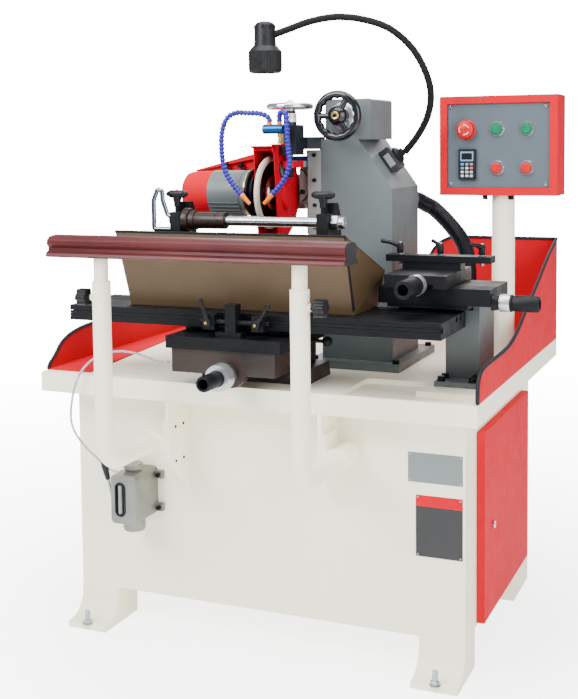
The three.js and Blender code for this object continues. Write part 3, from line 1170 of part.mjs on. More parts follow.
function oilTube() {
  const { pump, slide } = oilEnds();
  const points = [pump, ...oilRoute.map((p) => at(...p)), slide];
  const curve = new THREE.CatmullRomCurve3(points, false, 'centripetal');
  const path = curve.getSpacedPoints(32);
  place('oil_tube', pipe(path, oilLine.radius, 8), finish('#c9c4cf', 0.3, 0));
}

// Work lamp: magnet foot on the column's chamfer, flexible neck and a bell-shaped head
const lampRoute = [[304, 421, 1266], [324, 411, 1290], [349, 392, 1331], [362, 372, 1381], [358, 353,
  1430], [332, 334, 1492],
  [299, 315, 1534], [267, 296, 1561], [208, 277, 1579], [149, 258, 1586], [89, 238, 1574], [43, 219,
    1555], [8, 204, 1541]];

function workLamp() {
  const slope = Math.atan2(column.top - column.shoulder, column.cut);
  const lie = Math.PI / 2 - slope;
  const away = at(Math.cos(lie), 0, Math.sin(lie));
  const onFace = at(column.right - column.cut * 0.45, lamp.y,
    column.shoulder + (column.top - column.shoulder) * 0.45);
  const laid = (body) => body.rotateY(-lie).translate(...onFace.toArray());
  const base = laid(new THREE.BoxGeometry(magnet.thick, magnet.wide,
    magnet.long).translate(magnet.thick / 2 + gap, 0, 0));
  const dome = laid(turned('x', [[0, magnet.thick], [magnet.dome, magnet.thick], [magnet.dome,
    magnet.high * 0.8],
    [magnet.dome * 0.7, magnet.high], [magnet.joint, magnet.high], [magnet.joint, magnet.reach], [0,
      magnet.reach]], [0, 0, 0]));
  const start = onFace.clone().addScaledVector(away, magnet.reach - sink);
  const curve = new THREE.CatmullRomCurve3([start, ...lampRoute.map((p) => at(...p))], false,
    'centripetal');
  const neck = pipe(curve.getSpacedPoints(30), lamp.neck, facets.thin);
  const top = lampRoute.at(-1);
  const spot = [top[0] - lamp.neck, top[1] - lamp.neck / 2, 0];
  const high = top[2] + lamp.neck;
  const low = high - lamp.tall;
  const shade = turned('z', [[0, low + lamp.tall * 0.2], [lamp.skirt - lamp.wall * 2,
    low + lamp.tall * 0.2],
    [lamp.skirt - lamp.wall, low], [lamp.skirt, low], [lamp.skirt, low + lamp.tall * 0.42],
    [lamp.bell, low + lamp.tall * 0.56], [lamp.bell, low + lamp.tall * 0.92], [lamp.bell * 0.7, high], [0,
      high]],
  spot, facets.large);
  place('work_lamp', join(base, dome, neck, shade), blackPlastic());
}

// Cable conduit: ribbed hose from the column's back down to a gland on the slab
const conduitRoute = [[244, 596, 1106], [252, 622, 1103], [270, 640, 1090], [285, 654, 1080], [312, 656,
  1056],
  [338, 656, 1029], [362, 656, 999], [378, 656, 965], [385, 656, 925], [387, 656, 880], [387, 656, 830],
  [387, 656, 780], [387, 656, 740]];

const conduitStart = () => at(conduitRoute[0][0], column.back, conduitRoute[0][2]);

function cableConduit() {
  const start = conduitStart().add(at(0, gap, 0));
  const last = conduitRoute.at(-1);
  const foot = slab.top + gap * 2;
  const points = [start, start.clone().add(at(0, conduit.radius, 0)), ...conduitRoute.map((p) => at(...p)),
    at(last[0], last[1], foot + conduit.radius * 2), at(last[0], last[1], foot)];
  const curve = new THREE.CatmullRomCurve3(points, false, 'centripetal');
  const ribs = Math.round(curve.getLength() / conduit.pitch);
  const path = curve.getSpacedPoints(ribs * 2);
  const plainEnds = Math.ceil((2 * conduit.radius) / conduit.pitch) * 2;
  const frames = carried(path);
  const outer = frames.map((frame, i) => {
    const plain = i < plainEnds || i > path.length - 1 - plainEnds;
    return circleAt(frame, plain || i % 2 ? conduit.radius : conduit.root, facets.thin);
  }).filter((_, i) => !(i > 0 && i < plainEnds) && !(i > path.length - plainEnds && i < path.length - 1));
  const inner = frames.filter((_,
    i) => i % 10 === 0 || i === path.length - 1).map((frame) => circleAt(frame, conduit.bore, facets.thin));
  place('cable_conduit', skin([...outer, ...inner.reverse()], true), finish(ground.black, 0.5, 0));
}

tableSlab();
cabinetBody();
sideDoor();
splashGuard();
handRest();
controlStation();
controlButtons();
columnBody();
frontHandwheel();
coarseSlide();
topHandwheel();
headSlide();
headCover();
motorBody();
wheelAndSpindle();
wheelGuard();
coolant();
crossSlide();
stopLevers();
longTable();
dripTray();
workArbor();
templateStand();
templateKnobs();
clampLevers();
lubricator();
oilTube();
workLamp();
cableConduit();

// The origin goes to the middle of the footprint of the whole machine, on the floor
const bounds = new THREE.Box3().setFromObject(machine);
machine.position.set(-(bounds.min.x + bounds.max.x) / 2, -(bounds.min.y + bounds.max.y) / 2, -bounds.min.z);

export default machine;
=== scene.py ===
import json
import math

import bmesh
import bpy
import numpy as np
from mathutils import Matrix, Vector

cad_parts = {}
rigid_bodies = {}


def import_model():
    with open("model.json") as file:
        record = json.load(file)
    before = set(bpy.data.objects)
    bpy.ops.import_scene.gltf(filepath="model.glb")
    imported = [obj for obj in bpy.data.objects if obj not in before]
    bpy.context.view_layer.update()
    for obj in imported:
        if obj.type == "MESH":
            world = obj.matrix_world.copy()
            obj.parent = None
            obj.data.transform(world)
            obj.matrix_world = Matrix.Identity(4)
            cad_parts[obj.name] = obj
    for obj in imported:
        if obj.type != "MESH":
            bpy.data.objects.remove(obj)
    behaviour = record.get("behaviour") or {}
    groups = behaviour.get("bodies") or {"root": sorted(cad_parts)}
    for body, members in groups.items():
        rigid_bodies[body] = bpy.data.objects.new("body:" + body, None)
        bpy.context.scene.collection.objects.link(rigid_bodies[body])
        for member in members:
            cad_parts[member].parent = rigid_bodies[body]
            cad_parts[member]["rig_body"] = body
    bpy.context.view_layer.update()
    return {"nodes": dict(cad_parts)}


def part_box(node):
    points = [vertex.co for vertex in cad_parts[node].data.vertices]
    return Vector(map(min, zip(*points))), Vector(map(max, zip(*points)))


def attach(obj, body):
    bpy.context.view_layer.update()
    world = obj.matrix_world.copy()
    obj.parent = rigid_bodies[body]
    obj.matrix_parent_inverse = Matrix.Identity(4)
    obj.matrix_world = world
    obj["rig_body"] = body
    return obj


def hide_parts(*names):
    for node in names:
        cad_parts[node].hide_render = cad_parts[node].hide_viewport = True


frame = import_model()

# Looks of a floor-standing profile knife grinder. The sizes below are in millimetres from the
# middle of the table slab's front edge, on the floor: +X right, +Y to the back, +Z up.
slabLow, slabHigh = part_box("table_slab")
benchOrigin = np.array([(slabLow.x + slabHigh.x) / 2, slabLow.y, 0.0])
nodes = frame["nodes"]
creaseAngle = math.radians(32)
flatAngle = math.radians(0.6)


def inMetres(points):
    # millimetres from the slab's front edge to metres in the part's own frame
    return np.asarray(points, float) / 1000.0 + benchOrigin


def fullTurn(count):
    return np.linspace(0, 2 * np.pi, count, endpoint=False)


# camera
photoCamera = {"place": (1190.4, -2481.7, 1260.4), "yaw": 23.18, "pitch": 4.30, "roll": -0.61,
               "lens": 59.826, "sensor": 36.0, "shift": -0.1685, "farthest": 60.0}
yaw, pitch, roll = [math.radians(photoCamera[key]) for key in ("yaw", "pitch", "roll")]
view = Vector((-math.sin(yaw) * math.cos(pitch), math.cos(yaw) * math.cos(pitch), -math.sin(pitch)))
camera = bpy.data.objects.new("photoCamera", bpy.data.cameras.new("photoCamera"))
bpy.context.scene.collection.objects.link(camera)
cameraTurn = view.to_track_quat("-Z", "Y").to_matrix() @ Matrix.Rotation(roll, 3, "Z")
camera.matrix_world = Matrix.Translation(Vector(inMetres(photoCamera["place"]))) @ cameraTurn.to_4x4()
camera.data.lens = photoCamera["lens"]
camera.data.sensor_width = photoCamera["sensor"]
camera.data.shift_y = photoCamera["shift"]
camera.data.clip_end = photoCamera["farthest"]
bpy.context.scene.camera = camera
print("stage: camera")


# shapes: a shape is (points in mm, faces) until it becomes a piece
def grid(points, ring=False):
    # rows of points joined into quads all the way round; in a ring the last row meets the first, else both are capped
    rows, turn = points.shape[:2]
    index = np.arange(rows * turn).reshape(rows, turn)
    caps = [] if ring else [index[0, ::-1].tolist(), index[-1].tolist()]
    if ring:
        index = np.vstack([index, index[:1]])
    index = np.hstack([index, index[:, :1]])
    quads = np.stack([index[:-1, :-1], index[:-1, 1:], index[1:, 1:], index[1:, :-1]], -1).reshape(-1, 4)
    return points.reshape(-1, 3), quads.tolist() + caps


def axisFrame(axis):
    # two directions square to an axis, and the axis itself
    along = "xyz".index(axis)
    return np.eye(3)[[(along + 1) % 3, (along + 2) % 3, along]]


def ribbed(axis, profile, centre, teeth, sides, ring=False):
    # rows of radius r, distance h and rib depth c, turned about an axis:
    # centre + (r - c (1 + cos(teeth a)) / 2) (u cos a + v sin a) + h w
    u, v, w = axisFrame(axis)
    r, h, cut = np.array(profile, float).T[:, :, None, None]
    a = fullTurn(sides)[:, None]
    radius = r - cut * (0.5 + 0.5 * np.cos(teeth * a))
    return grid(np.asarray(centre, float) + radius * (np.cos(a) * u + np.sin(a) * v) + h * w, ring)


def lathe(axis, profile, centre, sides=48, ring=False):
    # a profile of (radius, distance) turned about an axis, without ribs
    return ribbed(axis, [(r, h, 0) for r, h in profile], centre, 0, sides, ring)


def hollow(axis, profile, centre, sides=48):
    # a closed profile turned into a ring
    return lathe(axis, profile, centre, sides, True)


def bar(axis, outline, start, end):
    # a flat outline carried straight along an axis
    u, v, w = axisFrame(axis)
    if axis == "y":
        u, v = v, u
    flat = np.array(outline, float)
    base = flat[:, :1] * u + flat[:, 1:] * v
    return grid(np.stack([base + start * w, base + end * w]))


def block(x0, x1, y0, y1, z0, z1):
    return bar("z", [(x0, y0), (x1, y0), (x1, y1), (x0, y1)], z0, z1)


def throughPoints(points, steps=12):
    # centripetal Catmull-Rom line: between two points a cubic whose slopes weigh the root of the distances
    p = np.array(points, float)
    p = np.vstack([2 * p[0] - p[1], p, 2 * p[-1] - p[-2]])
    gaps = np.sqrt(np.linalg.norm(np.diff(p, axis=0), axis=1))[:, None]
    a, b, c, d = p[:-3], p[1:-2], p[2:-1], p[3:]
    before, here, after = gaps[:-2], gaps[1:-1], gaps[2:]
    leave = ((b - a) / before - (c - a) / (before + here) + (c - b) / here) * here
    reach = ((c - b) / here - (d - b) / (here + after) + (d - c) / after) * here
    t = np.linspace(0, 1, steps, endpoint=False)[None, :, None]
    line = (b[:, None] + leave[:, None] * t + (3 * (c - b) - 2 * leave - reach)[:, None] * t**2
            + (2 * (b - c) + leave + reach)[:, None] * t**3)
    return np.vstack([line.reshape(-1, 3), p[-2]])


def evenly(line, count):
    # the same line with its points an equal length apart
    along = np.concatenate([[0], np.cumsum(np.linalg.norm(np.diff(line, axis=0), axis=1))])
    spots = np.linspace(0, along[-1], count)
    return np.stack([np.interp(spots, along, line[:, i]) for i in range(3)], -1)


def lengthOf(line):
    return float(np.linalg.norm(np.diff(line, axis=0), axis=1).sum())


def corners(points, radius, steps=10):
    # straight runs whose corners are arcs: middle + (sin((1 - t) s) first + sin(t s) last) / sin s, over the sweep s
    p = np.array(points, float)
    made = [p[0]]
    for here, before, after in zip(p[1:-1], p[:-2], p[2:]):
        back, on = [(end - here) / np.linalg.norm(end - here) for end in (before, after)]
        half = math.acos(np.clip(back @ on, -1, 1)) / 2
        middle = here + (back + on) / np.linalg.norm(back + on) * radius / math.sin(half)
        first, last = [here + way * radius / math.tan(half) - middle for way in (back, on)]
        sweep = math.pi - 2 * half
        t = np.linspace(0, 1, steps + 1)[:, None]
        made.extend(middle + (np.sin((1 - t) * sweep) * first + np.sin(t * sweep) * last) / math.sin(sweep))
    return np.array(made + [p[-1]])


def tube(line, radius, sides=24, closed=False):
    # a circle carried along a line without twist; radius may be one number or one for each point
    line = np.asarray(line, float)
    ahead = np.gradient(line, axis=0) if not closed else np.roll(line, -1, 0) - np.roll(line, 1, 0)
    ahead /= np.linalg.norm(ahead, axis=1)[:, None]
    side = np.zeros_like(line)
    start = np.array([0, 0, 1.0]) if abs(ahead[0, 2]) < 0.8 else np.array([1.0, 0, 0])
    for i, way in enumerate(ahead):          # one step for each station of the path
        start = start - way * (start @ way)
        start /= np.linalg.norm(start)
        side[i] = start
    up = np.cross(ahead, side)
    a = fullTurn(sides)[None, :, None]
    r = np.broadcast_to(np.asarray(radius, float), len(line))[:, None, None]
    return grid(line[:, None] + r * (np.cos(a) * side[:, None] + np.sin(a) * up[:, None]), closed)


def rounded(line, radii, sides=20):
    # a bar of changing thickness whose two ends are domes
    line, radii = np.asarray(line, float), np.asarray(radii, float)
    dome = np.array([(0.97, 0.15), (0.75, 0.66), (0.45, 0.89), (0.2, 0.98)])
    ends = []
    for tip, inner, radius, rows in ((line[0], line[1], radii[0], dome), (line[-1], line[-2], radii[-1], dome[::-1])):
        out = (tip - inner) / np.linalg.norm(tip - inner)
        ends.append((tip + out * radius * rows[:, :1], radius * rows[:, 1]))
    (startLine, startRadii), (endLine, endRadii) = ends
    return tube(np.vstack([startLine, line, endLine]), np.concatenate([startRadii, radii, endRadii]), sides)


def joined(*shapes):
    points, faces, start = [], [], 0
    for shapePoints, shapeFaces in shapes:
        points.append(shapePoints)
        faces += [[i + start for i in face] for face in shapeFaces]
        start += len(shapePoints)
    return np.vstack(points), faces


def turnedBy(shape, axis, degrees, centre):
    # a shape turned about an axis through a point
    matrix = np.array(Matrix.Rotation(math.radians(degrees), 3, axis.upper()))
    return (shape[0] - centre) @ matrix.T + centre, shape[1]


def hexHead(axis, centre, start, end, across=13):
    return lathe(axis, [(across / 2, start), (across / 2, end - 1), (across / 2 - 0.8, end)], centre, 6)


def socketHead(axis, centre, start, end, radius=5):
    # a cap screw: a drum with a hexagon hole
    way = 1 if end > start else -1
    drum = [(radius, start), (radius, end - way * 0.6), (radius - 0.6, end), (radius * 0.55, end)]
    hole = [(radius * 0.5, end - way * 0.2), (radius * 0.5, end + way * 0.05)]
    return joined(lathe(axis, drum, centre, 20), lathe(axis, hole, centre, 6))


def makePiece(name, mesh, material, body, edge, near, dissolve=False):
    # doubles merged, flat faces made whole or normals turned outwards, rounds smooth, edges softened
    built = bmesh.new()
    built.from_mesh(mesh)
    bmesh.ops.remove_doubles(built, verts=built.verts, dist=near)
    if dissolve:
        bmesh.ops.dissolve_limit(built, angle_limit=flatAngle, verts=built.verts, edges=built.edges)
    else:
        bmesh.ops.recalc_face_normals(built, faces=built.faces)
    built.to_mesh(mesh)
    built.free()
    mesh.polygons.foreach_set("use_smooth", np.ones(len(mesh.polygons), bool))
    mesh.set_sharp_from_angle(angle=creaseAngle)
    mesh.update()
    mesh.materials.clear()
    mesh.materials.append(material)
    piece = bpy.data.objects.new(name, mesh)
    bpy.context.scene.collection.objects.link(piece)
    if edge:
        bevel = piece.modifiers.new("edge", "BEVEL")
        bevel.width, bevel.segments, bevel.limit_method = edge / 1000, 2, "ANGLE"
        bevel.angle_limit, bevel.harden_normals, bevel.use_clamp_overlap = creaseAngle, True, True
    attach(piece, body)
    return piece


def shapePiece(node, name, shape, material, edge):
    mesh = bpy.data.meshes.new(name)
    mesh.from_pydata(inMetres(shape[0]).tolist(), [], shape[1])
    return makePiece(name, mesh, material, nodes[node]["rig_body"], edge, 1e-6)


def stand(node, name, shape, material, edge=0.0):
    # a finer piece that stands for a CAD solid and moves with it
    piece = shapePiece(node, name, shape, material, edge)
    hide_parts(node)
    return piece


def detail(node, name, shape, material, edge=0.0):
    # a small extra piece that moves with a CAD solid which is still shown by another piece
    return shapePiece(node, name, shape, material, edge)


def dressNode(node, material, edge):
    # a copy of the CAD solid with whole flat faces, soft edges and smooth rounds, in place of the solid
    solid = nodes[node]
    piece = makePiece("dressed_" + node, solid.data.copy(), material,
                      solid["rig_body"], edge, 2e-6, True)
    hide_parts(node)


print("stage: shapes ready")


# materials: named for the real finish, colours as sRGB hex, patterns sized in millimetres
def linear(code):
    # sRGB hex to linear light: v / 12.92 below 0.04045, else ((v + 0.055) / 1.055) ^ 2.4
    v = np.array([int(code[i:i + 2], 16) for i in (1, 3, 5)]) / 255.0
    return (*np.where(v <= 0.04045, v / 12.92, ((v + 0.055) / 1.055) ** 2.4).tolist(), 1.0)


def add(tree, kind, settings=None, links=None):
    # one node, with its plain settings, its socket values and what is linked into it
    made = tree.nodes.new("ShaderNode" + kind)
    for key, value in (settings or {}).items():
        if isinstance(key, int) or key in made.inputs:
            made.inputs[key].default_value = value
        else:
            setattr(made, key, value)
    for key, source in (links or {}).items():
        tree.links.new(source, made.inputs[key])
    return made


def start(name, **shader):
    material = bpy.data.materials.new(name)
    material.use_nodes = True
    tree = material.node_tree
    surface = tree.nodes["Principled BSDF"]
    for key, value in shader.items():
        surface.inputs[key.replace("_", " ")].default_value = value
    return material, tree, surface, add(tree, "TexCoord").outputs["Object"]


def aroundAxis(tree, place, axis, centre):
    # distance from an axis through a point, the angle round it in turns, and the distance along it
    middle = add(tree, "Mapping", {"Location": tuple(-c for c in inMetres(centre))}, {"Vector": place})
    split = add(tree, "SeparateXYZ", None, {0: middle.outputs[0]}).outputs
    first, second, along = {"x": (1, 2, 0), "y": (0, 2, 1), "z": (0, 1, 2)}[axis]
    angle = add(tree, "Math", {"operation": "ARCTAN2"}, {0: split[second], 1: split[first]})
    turns = add(tree, "Math", {"operation": "DIVIDE", 1: 2 * math.pi}, {0: angle.outputs[0]})
    wide, high = [add(tree, "Math", {"operation": "MULTIPLY"}, {0: split[i], 1: split[i]}) for i in (first, second)]
    total = add(tree, "Math", {"operation": "ADD"}, {0: wide.outputs[0], 1: high.outputs[0]})
    radius = add(tree, "Math", {"operation": "SQRT"}, {0: total.outputs[0]})
    return radius.outputs[0], turns.outputs[0], split[along]


def finish(name, patterns, tint, polish=None, relief=None, **shader):
    # patterns: label -> feature size in mm, the texture's settings, and a stretch or an axis that it runs round
    # tint: the ground colour, then (pattern, its span, the share that gives, the colour laid over)
    # polish: (pattern, its span, the roughness that gives); relief: (pattern, depth in mm, strength)
    material, tree, surface, place = start(name, **shader)
    values = {}
    for label, pattern in patterns.items():
        settings = {"Scale": 1000.0 / pattern["size"]}
        settings.update({key: value for key, value in pattern.items() if key[0].isupper()})
        spot = place
        if "stretch" in pattern:
            spot = add(tree, "Mapping", {"Scale": pattern["stretch"]}, {"Vector": place}).outputs[0]
        if "round" in pattern:
            radius, _, along = aroundAxis(tree, place, *pattern["round"])
            spot = add(tree, "CombineXYZ", None, {0: radius, 1: along}).outputs[0]
        texture = add(tree, pattern.get("kind", "TexNoise"), settings, {"Vector": spot})
        values[label] = texture.outputs[pattern.get("output", 0)]

    def reading(label, span, reach):
        # a pattern, or the product of two, with its span stretched to a reach
        first, *others = [values[word] for word in label.split()]
        for other in others:
            first = add(tree, "Math", {"operation": "MULTIPLY"}, {0: first, 1: other}).outputs[0]
        return add(tree, "MapRange", {1: span[0], 2: span[1], 3: reach[0], 4: reach[1]}, {0: first}).outputs[0]

    below = None
    surface.inputs["Base Color"].default_value = linear(tint[0])
    for label, span, share, colour in tint[1:]:
        settings = {"data_type": "RGBA", 6: linear(tint[0]), 7: linear(colour)}
        mix = add(tree, "Mix", settings, {0: reading(label, span, share), **({6: below} if below else {})})
        below = mix.outputs[2]
        tree.links.new(below, surface.inputs["Base Color"])
    if polish:
        tree.links.new(reading(*polish), surface.inputs["Roughness"])
    if relief:
        label, depth, strength = relief
        bump = add(tree, "Bump", {"Strength": strength, "Distance": depth / 1000}, {"Height": values[label]})
        tree.links.new(bump.outputs[0], surface.inputs["Normal"])
    return material


whole, middling = (0.0, 1.0), (0.3, 0.7)


def enamel(name, colour, worn, roughness, peel=3.2, soil=0.10, soilColour="#6b6459", gloss=0.5):
    # sprayed or powder-coated steel: faint orange peel, a slightly uneven tone, dust in patches
    patterns = {"tone": {"size": 260, "Detail": 3.0, "Roughness": 0.55}, "peel": {"size": peel, "Detail": 2.0},
                "patch": {"size": 34, "Detail": 6.0, "Roughness": 0.65}}
    tint = [colour, ("tone", middling, (0.0, 0.6), worn), ("patch", (0.55, 0.85), (0.0, soil), soilColour)]
    polish = ("patch", (0.3, 0.8), (roughness - 0.04, roughness + 0.12))
    return finish(name, patterns, tint, polish, ("peel", 0.05, 0.6), Roughness=roughness, Specular_IOR_Level=gloss)


def blackenedSteel(name, colour="#0c0e11", shine="#1c2026", roughness=0.46, metallic=0.08,
                   grain=(1, 1, 1), gloss=0.18):
    # oil-blacked steel: dark oxide with a blue-grey sheen, ground marks along its length and oily patches
    patterns = {"marks": {"size": 4, "Detail": 5.0, "Roughness": 0.7, "stretch": grain},
                "oil": {"size": 55, "Detail": 4.0, "Roughness": 0.6}}
    return finish(name, patterns, [colour, ("marks", (0.45, 0.8), (0.0, 0.7), shine)],
                  ("oil", middling, (roughness - 0.1, roughness + 0.14)), ("marks", 0.06, 0.5),
                  Metallic=metallic, Specular_IOR_Level=gloss)


def castSkin(name, colour, dark, roughness, metallic, pits=2.6, depth=0.25):
    # a sand or die casting under thin paint: pitted skin with darker hollows
    patterns = {"skin": {"size": pits, "Detail": 4.0, "Roughness": 0.6}, "wide": {"size": 70, "Detail": 3.0}}
    return finish(name, patterns, [dark, ("skin wide", (0.12, 0.4), whole, colour)],
                  ("wide", middling, (roughness - 0.06, roughness + 0.1)), ("skin", depth, 0.7), Metallic=metallic)


def moulded(name, colour, lighter, roughness, grain=1.8, depth=0.05, gloss=0.25):
    # injection-moulded plastic: fine spark-eroded texture, faint flow marks
    patterns = {"flow": {"size": 22, "Detail": 3.0, "Distortion": 1.2}, "texture": {"size": grain, "Detail": 2.0}}
    return finish(name, patterns, [colour, ("flow", (0.35, 0.75), whole, lighter)],
                  ("flow", middling, (roughness - 0.05, roughness + 0.08)), ("texture", depth, 0.6),
                  Specular_IOR_Level=gloss)


def plated(name, colour="#d9dde1", roughness=0.08):
    # polished chrome plate: almost a mirror, with slight ripple and finger haze
    patterns = {"haze": {"size": 18, "Detail": 5.0}, "ripple": {"size": 12, "Detail": 1.0}}
    return finish(name, patterns, [colour], ("haze", (0.35, 0.75), (roughness, roughness + 0.14)),
                  ("ripple", 0.04, 0.5), Metallic=1.0)


def sandedSteel(name, colour="#b9bdc1", dark="#8a8f95", roughness=0.3):
    # surface-ground steel: long fine scratches one way
    patterns = {"scratch": {"size": 12, "Detail": 6.0, "Roughness": 0.75, "stretch": (1, 14, 14)}}
    return finish(name, patterns, [dark, ("scratch", whole, whole, colour)],
                  ("scratch", middling, (roughness - 0.08, roughness + 0.12)), ("scratch", 0.05, 0.5), Metallic=1.0)


def latheTurned(name, axis, centre, colour, dark, roughness):
    # bright turned steel: fine rings left by the tool round the axis, a slight tarnish along it
    patterns = {"rings": {"size": 1.6, "Detail": 2.0, "Roughness": 0.7, "round": (axis, centre)},
                "stain": {"size": 26, "Detail": 4.0}}
    return finish(name, patterns, [colour, ("stain", (0.5, 0.8), (0.0, 0.6), dark)],
                  ("rings", middling, (roughness - 0.06, roughness + 0.12)), ("rings", 0.03, 0.5), Metallic=1.0)


def graduated(name, axis, centre, face, longMark, colour, ink, count, metallic=0.8, roughness=0.28):
    # satin chrome dial: short dark graduations round the rim, every fifth one longer
    material, tree, surface, place = start(name, Metallic=metallic, Roughness=roughness)
    _, turns, along = aroundAxis(tree, place, axis, centre)
    inks = []
    for number, reach in ((count, longMark * 0.55), (count // 5, longMark)):
        step = add(tree, "Math", {"operation": "MULTIPLY", 1: float(number)}, {0: turns})
        part = add(tree, "Math", {"operation": "FRACT"}, {0: step.outputs[0]})
        away = add(tree, "Math", {"operation": "SUBTRACT", 1: 0.5}, {0: part.outputs[0]})
        size = add(tree, "Math", {"operation": "ABSOLUTE"}, {0: away.outputs[0]})
        line = add(tree, "Math", {"operation": "LESS_THAN", 1: 0.15 * number / count}, {0: size.outputs[0]})
        fromFace = add(tree, "Math", {"operation": "SUBTRACT", 1: face / 1000}, {0: along})
        deep = add(tree, "Math", {"operation": "ABSOLUTE"}, {0: fromFace.outputs[0]})
        near = add(tree, "Math", {"operation": "LESS_THAN", 1: reach / 1000}, {0: deep.outputs[0]})
        inks.append(add(tree, "Math", {"operation": "MULTIPLY"}, {0: line.outputs[0], 1: near.outputs[0]}))
    inked = add(tree, "Math", {"operation": "MAXIMUM"}, {0: inks[0].outputs[0], 1: inks[1].outputs[0]}).outputs[0]
    mix = add(tree, "Mix", {"data_type": "RGBA", 6: linear(colour), 7: linear(ink)}, {0: inked})
    tree.links.new(mix.outputs[2], surface.inputs["Base Color"])
    return material


creamCoat = enamel("creamPowderCoat", "#fcf7e0", "#f7f1d9", 0.40, soil=0.04, gloss=0.3)
redCoat = enamel("redPowderCoat", "#c60220", "#bb021e", 0.5, soil=0.03, soilColour="#8f0f20", gloss=0.03)
greyEnamel = enamel("greyMachineEnamel", "#5c6566", "#545c5d", 0.42, soilColour="#3c4142", gloss=0.4)
slateEnamel = enamel("slateGreyEnamel", "#5a6364", "#4e5758", 0.40, soil=0.12, soilColour="#353a3b", gloss=0.4)
paleEnamel = enamel("lightGreyEnamel", "#8d918f", "#7d817f", 0.38, soil=0.14, soilColour="#55564f")
navyEnamel = enamel("darkBlueEnamel", "#0a111f", "#070c17", 0.3, soil=0.08, soilColour="#14181f", gloss=0.4)
tanEnamel = enamel("tanEnamel", "#50402c", "#473825", 0.46, soilColour="#32291d", gloss=0.3)
plateGrey = enamel("greyPrintedSheet", "#505a62", "#4a545b", 0.5, peel=1.6,
                   soil=0.03, soilColour="#394045", gloss=0.3)
blankTin = enamel("blankGreyPlate", "#6f7779", "#666e70", 0.4, peel=1.4, soil=0.05, soilColour="#4d5354")
darkTin = enamel("blankDarkPlate", "#17181b", "#1d1f23", 0.4, peel=1.4, soil=0.05, soilColour="#33363a")
blackSteel = blackenedSteel("oilBlackenedSteel")
blackWay = blackenedSteel("blackenedSlideWay", grain=(1, 12, 12), roughness=0.42)
brownSteel = blackenedSteel("brownedSteel", "#1e120e", "#3a2820", 0.36, 0.3, gloss=0.4)
brownIron = castSkin("brownOiledCasting", "#2f1f19", "#1a110e", 0.5, 0.05)
greyDie = castSkin("tumbledDieCasting", "#8f918c", "#6a6c68", 0.42, 0.7, pits=1.8, depth=0.12)
darkDie = castSkin("darkDieCasting", "#3c4043", "#26292b", 0.4, 0.4, pits=2.0, depth=0.1)
blackMoulding = moulded("mouldedBlackNylon", "#0c0d10", "#15171a", 0.42)
blackRubber = moulded("blackRubberTrim", "#0d0d0f", "#151517", 0.58, grain=2.4, gloss=0.15)
greyRubber = moulded("greyRubberChannel", "#1c1e22", "#25272c", 0.6, grain=2.4, gloss=0.15)
redButton = moulded("mouldedRedUrea", "#b80a12", "#c2161c", 0.28)
greenButton = moulded("mouldedGreenUrea", "#006b45", "#00784f", 0.28, gloss=0.08)
violetHose = moulded("violetBlueAcetal", "#1c1182", "#2a1f9e", 0.3, gloss=0.35)
orangeNozzle = moulded("orangeAcetal", "#e66f06", "#ee8412", 0.32)
conduitPlastic = moulded("corrugatedBlackPvc", "#070a14", "#0d1220", 0.36, grain=3.0)
glossPhenolic = moulded("polishedBlackPhenolic", "#070910", "#0d111b", 0.14, grain=6.0, depth=0.02, gloss=0.5)
redPaper = moulded("redBlotterPaper", "#8e2226", "#a8383a", 0.8, grain=1.2)
frostedLens = moulded("frostedLampLens", "#e8e6de", "#f4f2ea", 0.35)
paleBezel = moulded("paleGreyBezel", "#b9bcbb", "#c9cccb", 0.35)
whiteInk = moulded("whiteFiredInk", "#e9e7e2", "#f2f0ea", 0.4)
skyFrame = moulded("paleBlueMoulding", "#4f8fb0", "#5fa3c4", 0.4)
pinkKey = moulded("pinkMoulding", "#b8566e", "#c5667d", 0.4)
darkGlass = moulded("darkDisplayGlass", "#0a1018", "#101a26", 0.12, gloss=0.5)
clearSight = moulded("clearAcrylic", "#6f7677", "#868c8c", 0.1, gloss=0.5)
chrome = plated("polishedChromePlate")
# chrome-plated bent bar; its darker blue-grey colour is a painted reflection of the surroundings
bailPaintedReflection = plated("bentBarPaintedReflection", "#6b7684", 0.12)
groundSteel = sandedSteel("surfaceGroundSteel")
# dark polished steel of the wheel plates; the red cast in its colour is a painted reflection of the red guard
wheelBodyPaintedReflection = sandedSteel("polishedWheelBodyPaintedReflection", "#4d3f40", "#2c2021", 0.24)
brass = latheTurned("turnedBrass", "y", (151, 262, 1331), "#b89a5c", "#7c6236", 0.3)
brightBar = latheTurned("turnedArborSteel", "x", (0, 76, 1075), "#a3a6aa", "#5a5d61", 0.18)
handwheelDial = graduated("handwheelSatinDial", "y", (151, 320, 1331), 0, 8, "#c9cdd1", "#a01c22", 60)
topDial = graduated("topWheelDial", "z", (22, 262, 1331), 0, 4, "#e9eaec", "#b3262b", 50, 0.3, 0.3)

# beech rail stained red-brown and lacquered: long fibres along X with short dark flecks
beechRail = finish("stainedBeech", {
    "grain": {"size": 95, "Detail": 8.0, "Roughness": 0.7, "Distortion": 0.5, "stretch": (1.0, 26.0, 26.0)},
    "wide": {"size": 130, "Detail": 3.0},
    "fleck": {"kind": "TexVoronoi", "output": "Distance", "size": 26, "Randomness": 1.0, "stretch": (1.0, 9.0, 9.0)}},
    ["#3a1013", ("grain", middling, whole, "#4b181a"), ("wide", (0.35, 0.7), (0.0, 0.55), "#5b2122"),
     ("fleck", (0.0, 0.12), (0.5, 0.0), "#210809")],
    ("grain", middling, (0.34, 0.48)), ("grain", 0.12, 0.6), Coat_Weight=0.08, Coat_Roughness=0.26,
    Specular_IOR_Level=0.2)
# bonded alumina grit: pale cream body with sharp grains of about a millimetre
abrasive = finish("vitrifiedAlumina", {
    "grit": {"kind": "TexVoronoi", "output": "Distance", "size": 1.6}, "pore": {"size": 2.4, "Detail": 5.0}},
    ["#a99c88", ("pore", middling, whole, "#e2d9c6")], None, ("grit", 0.5, 0.8), Roughness=0.9)
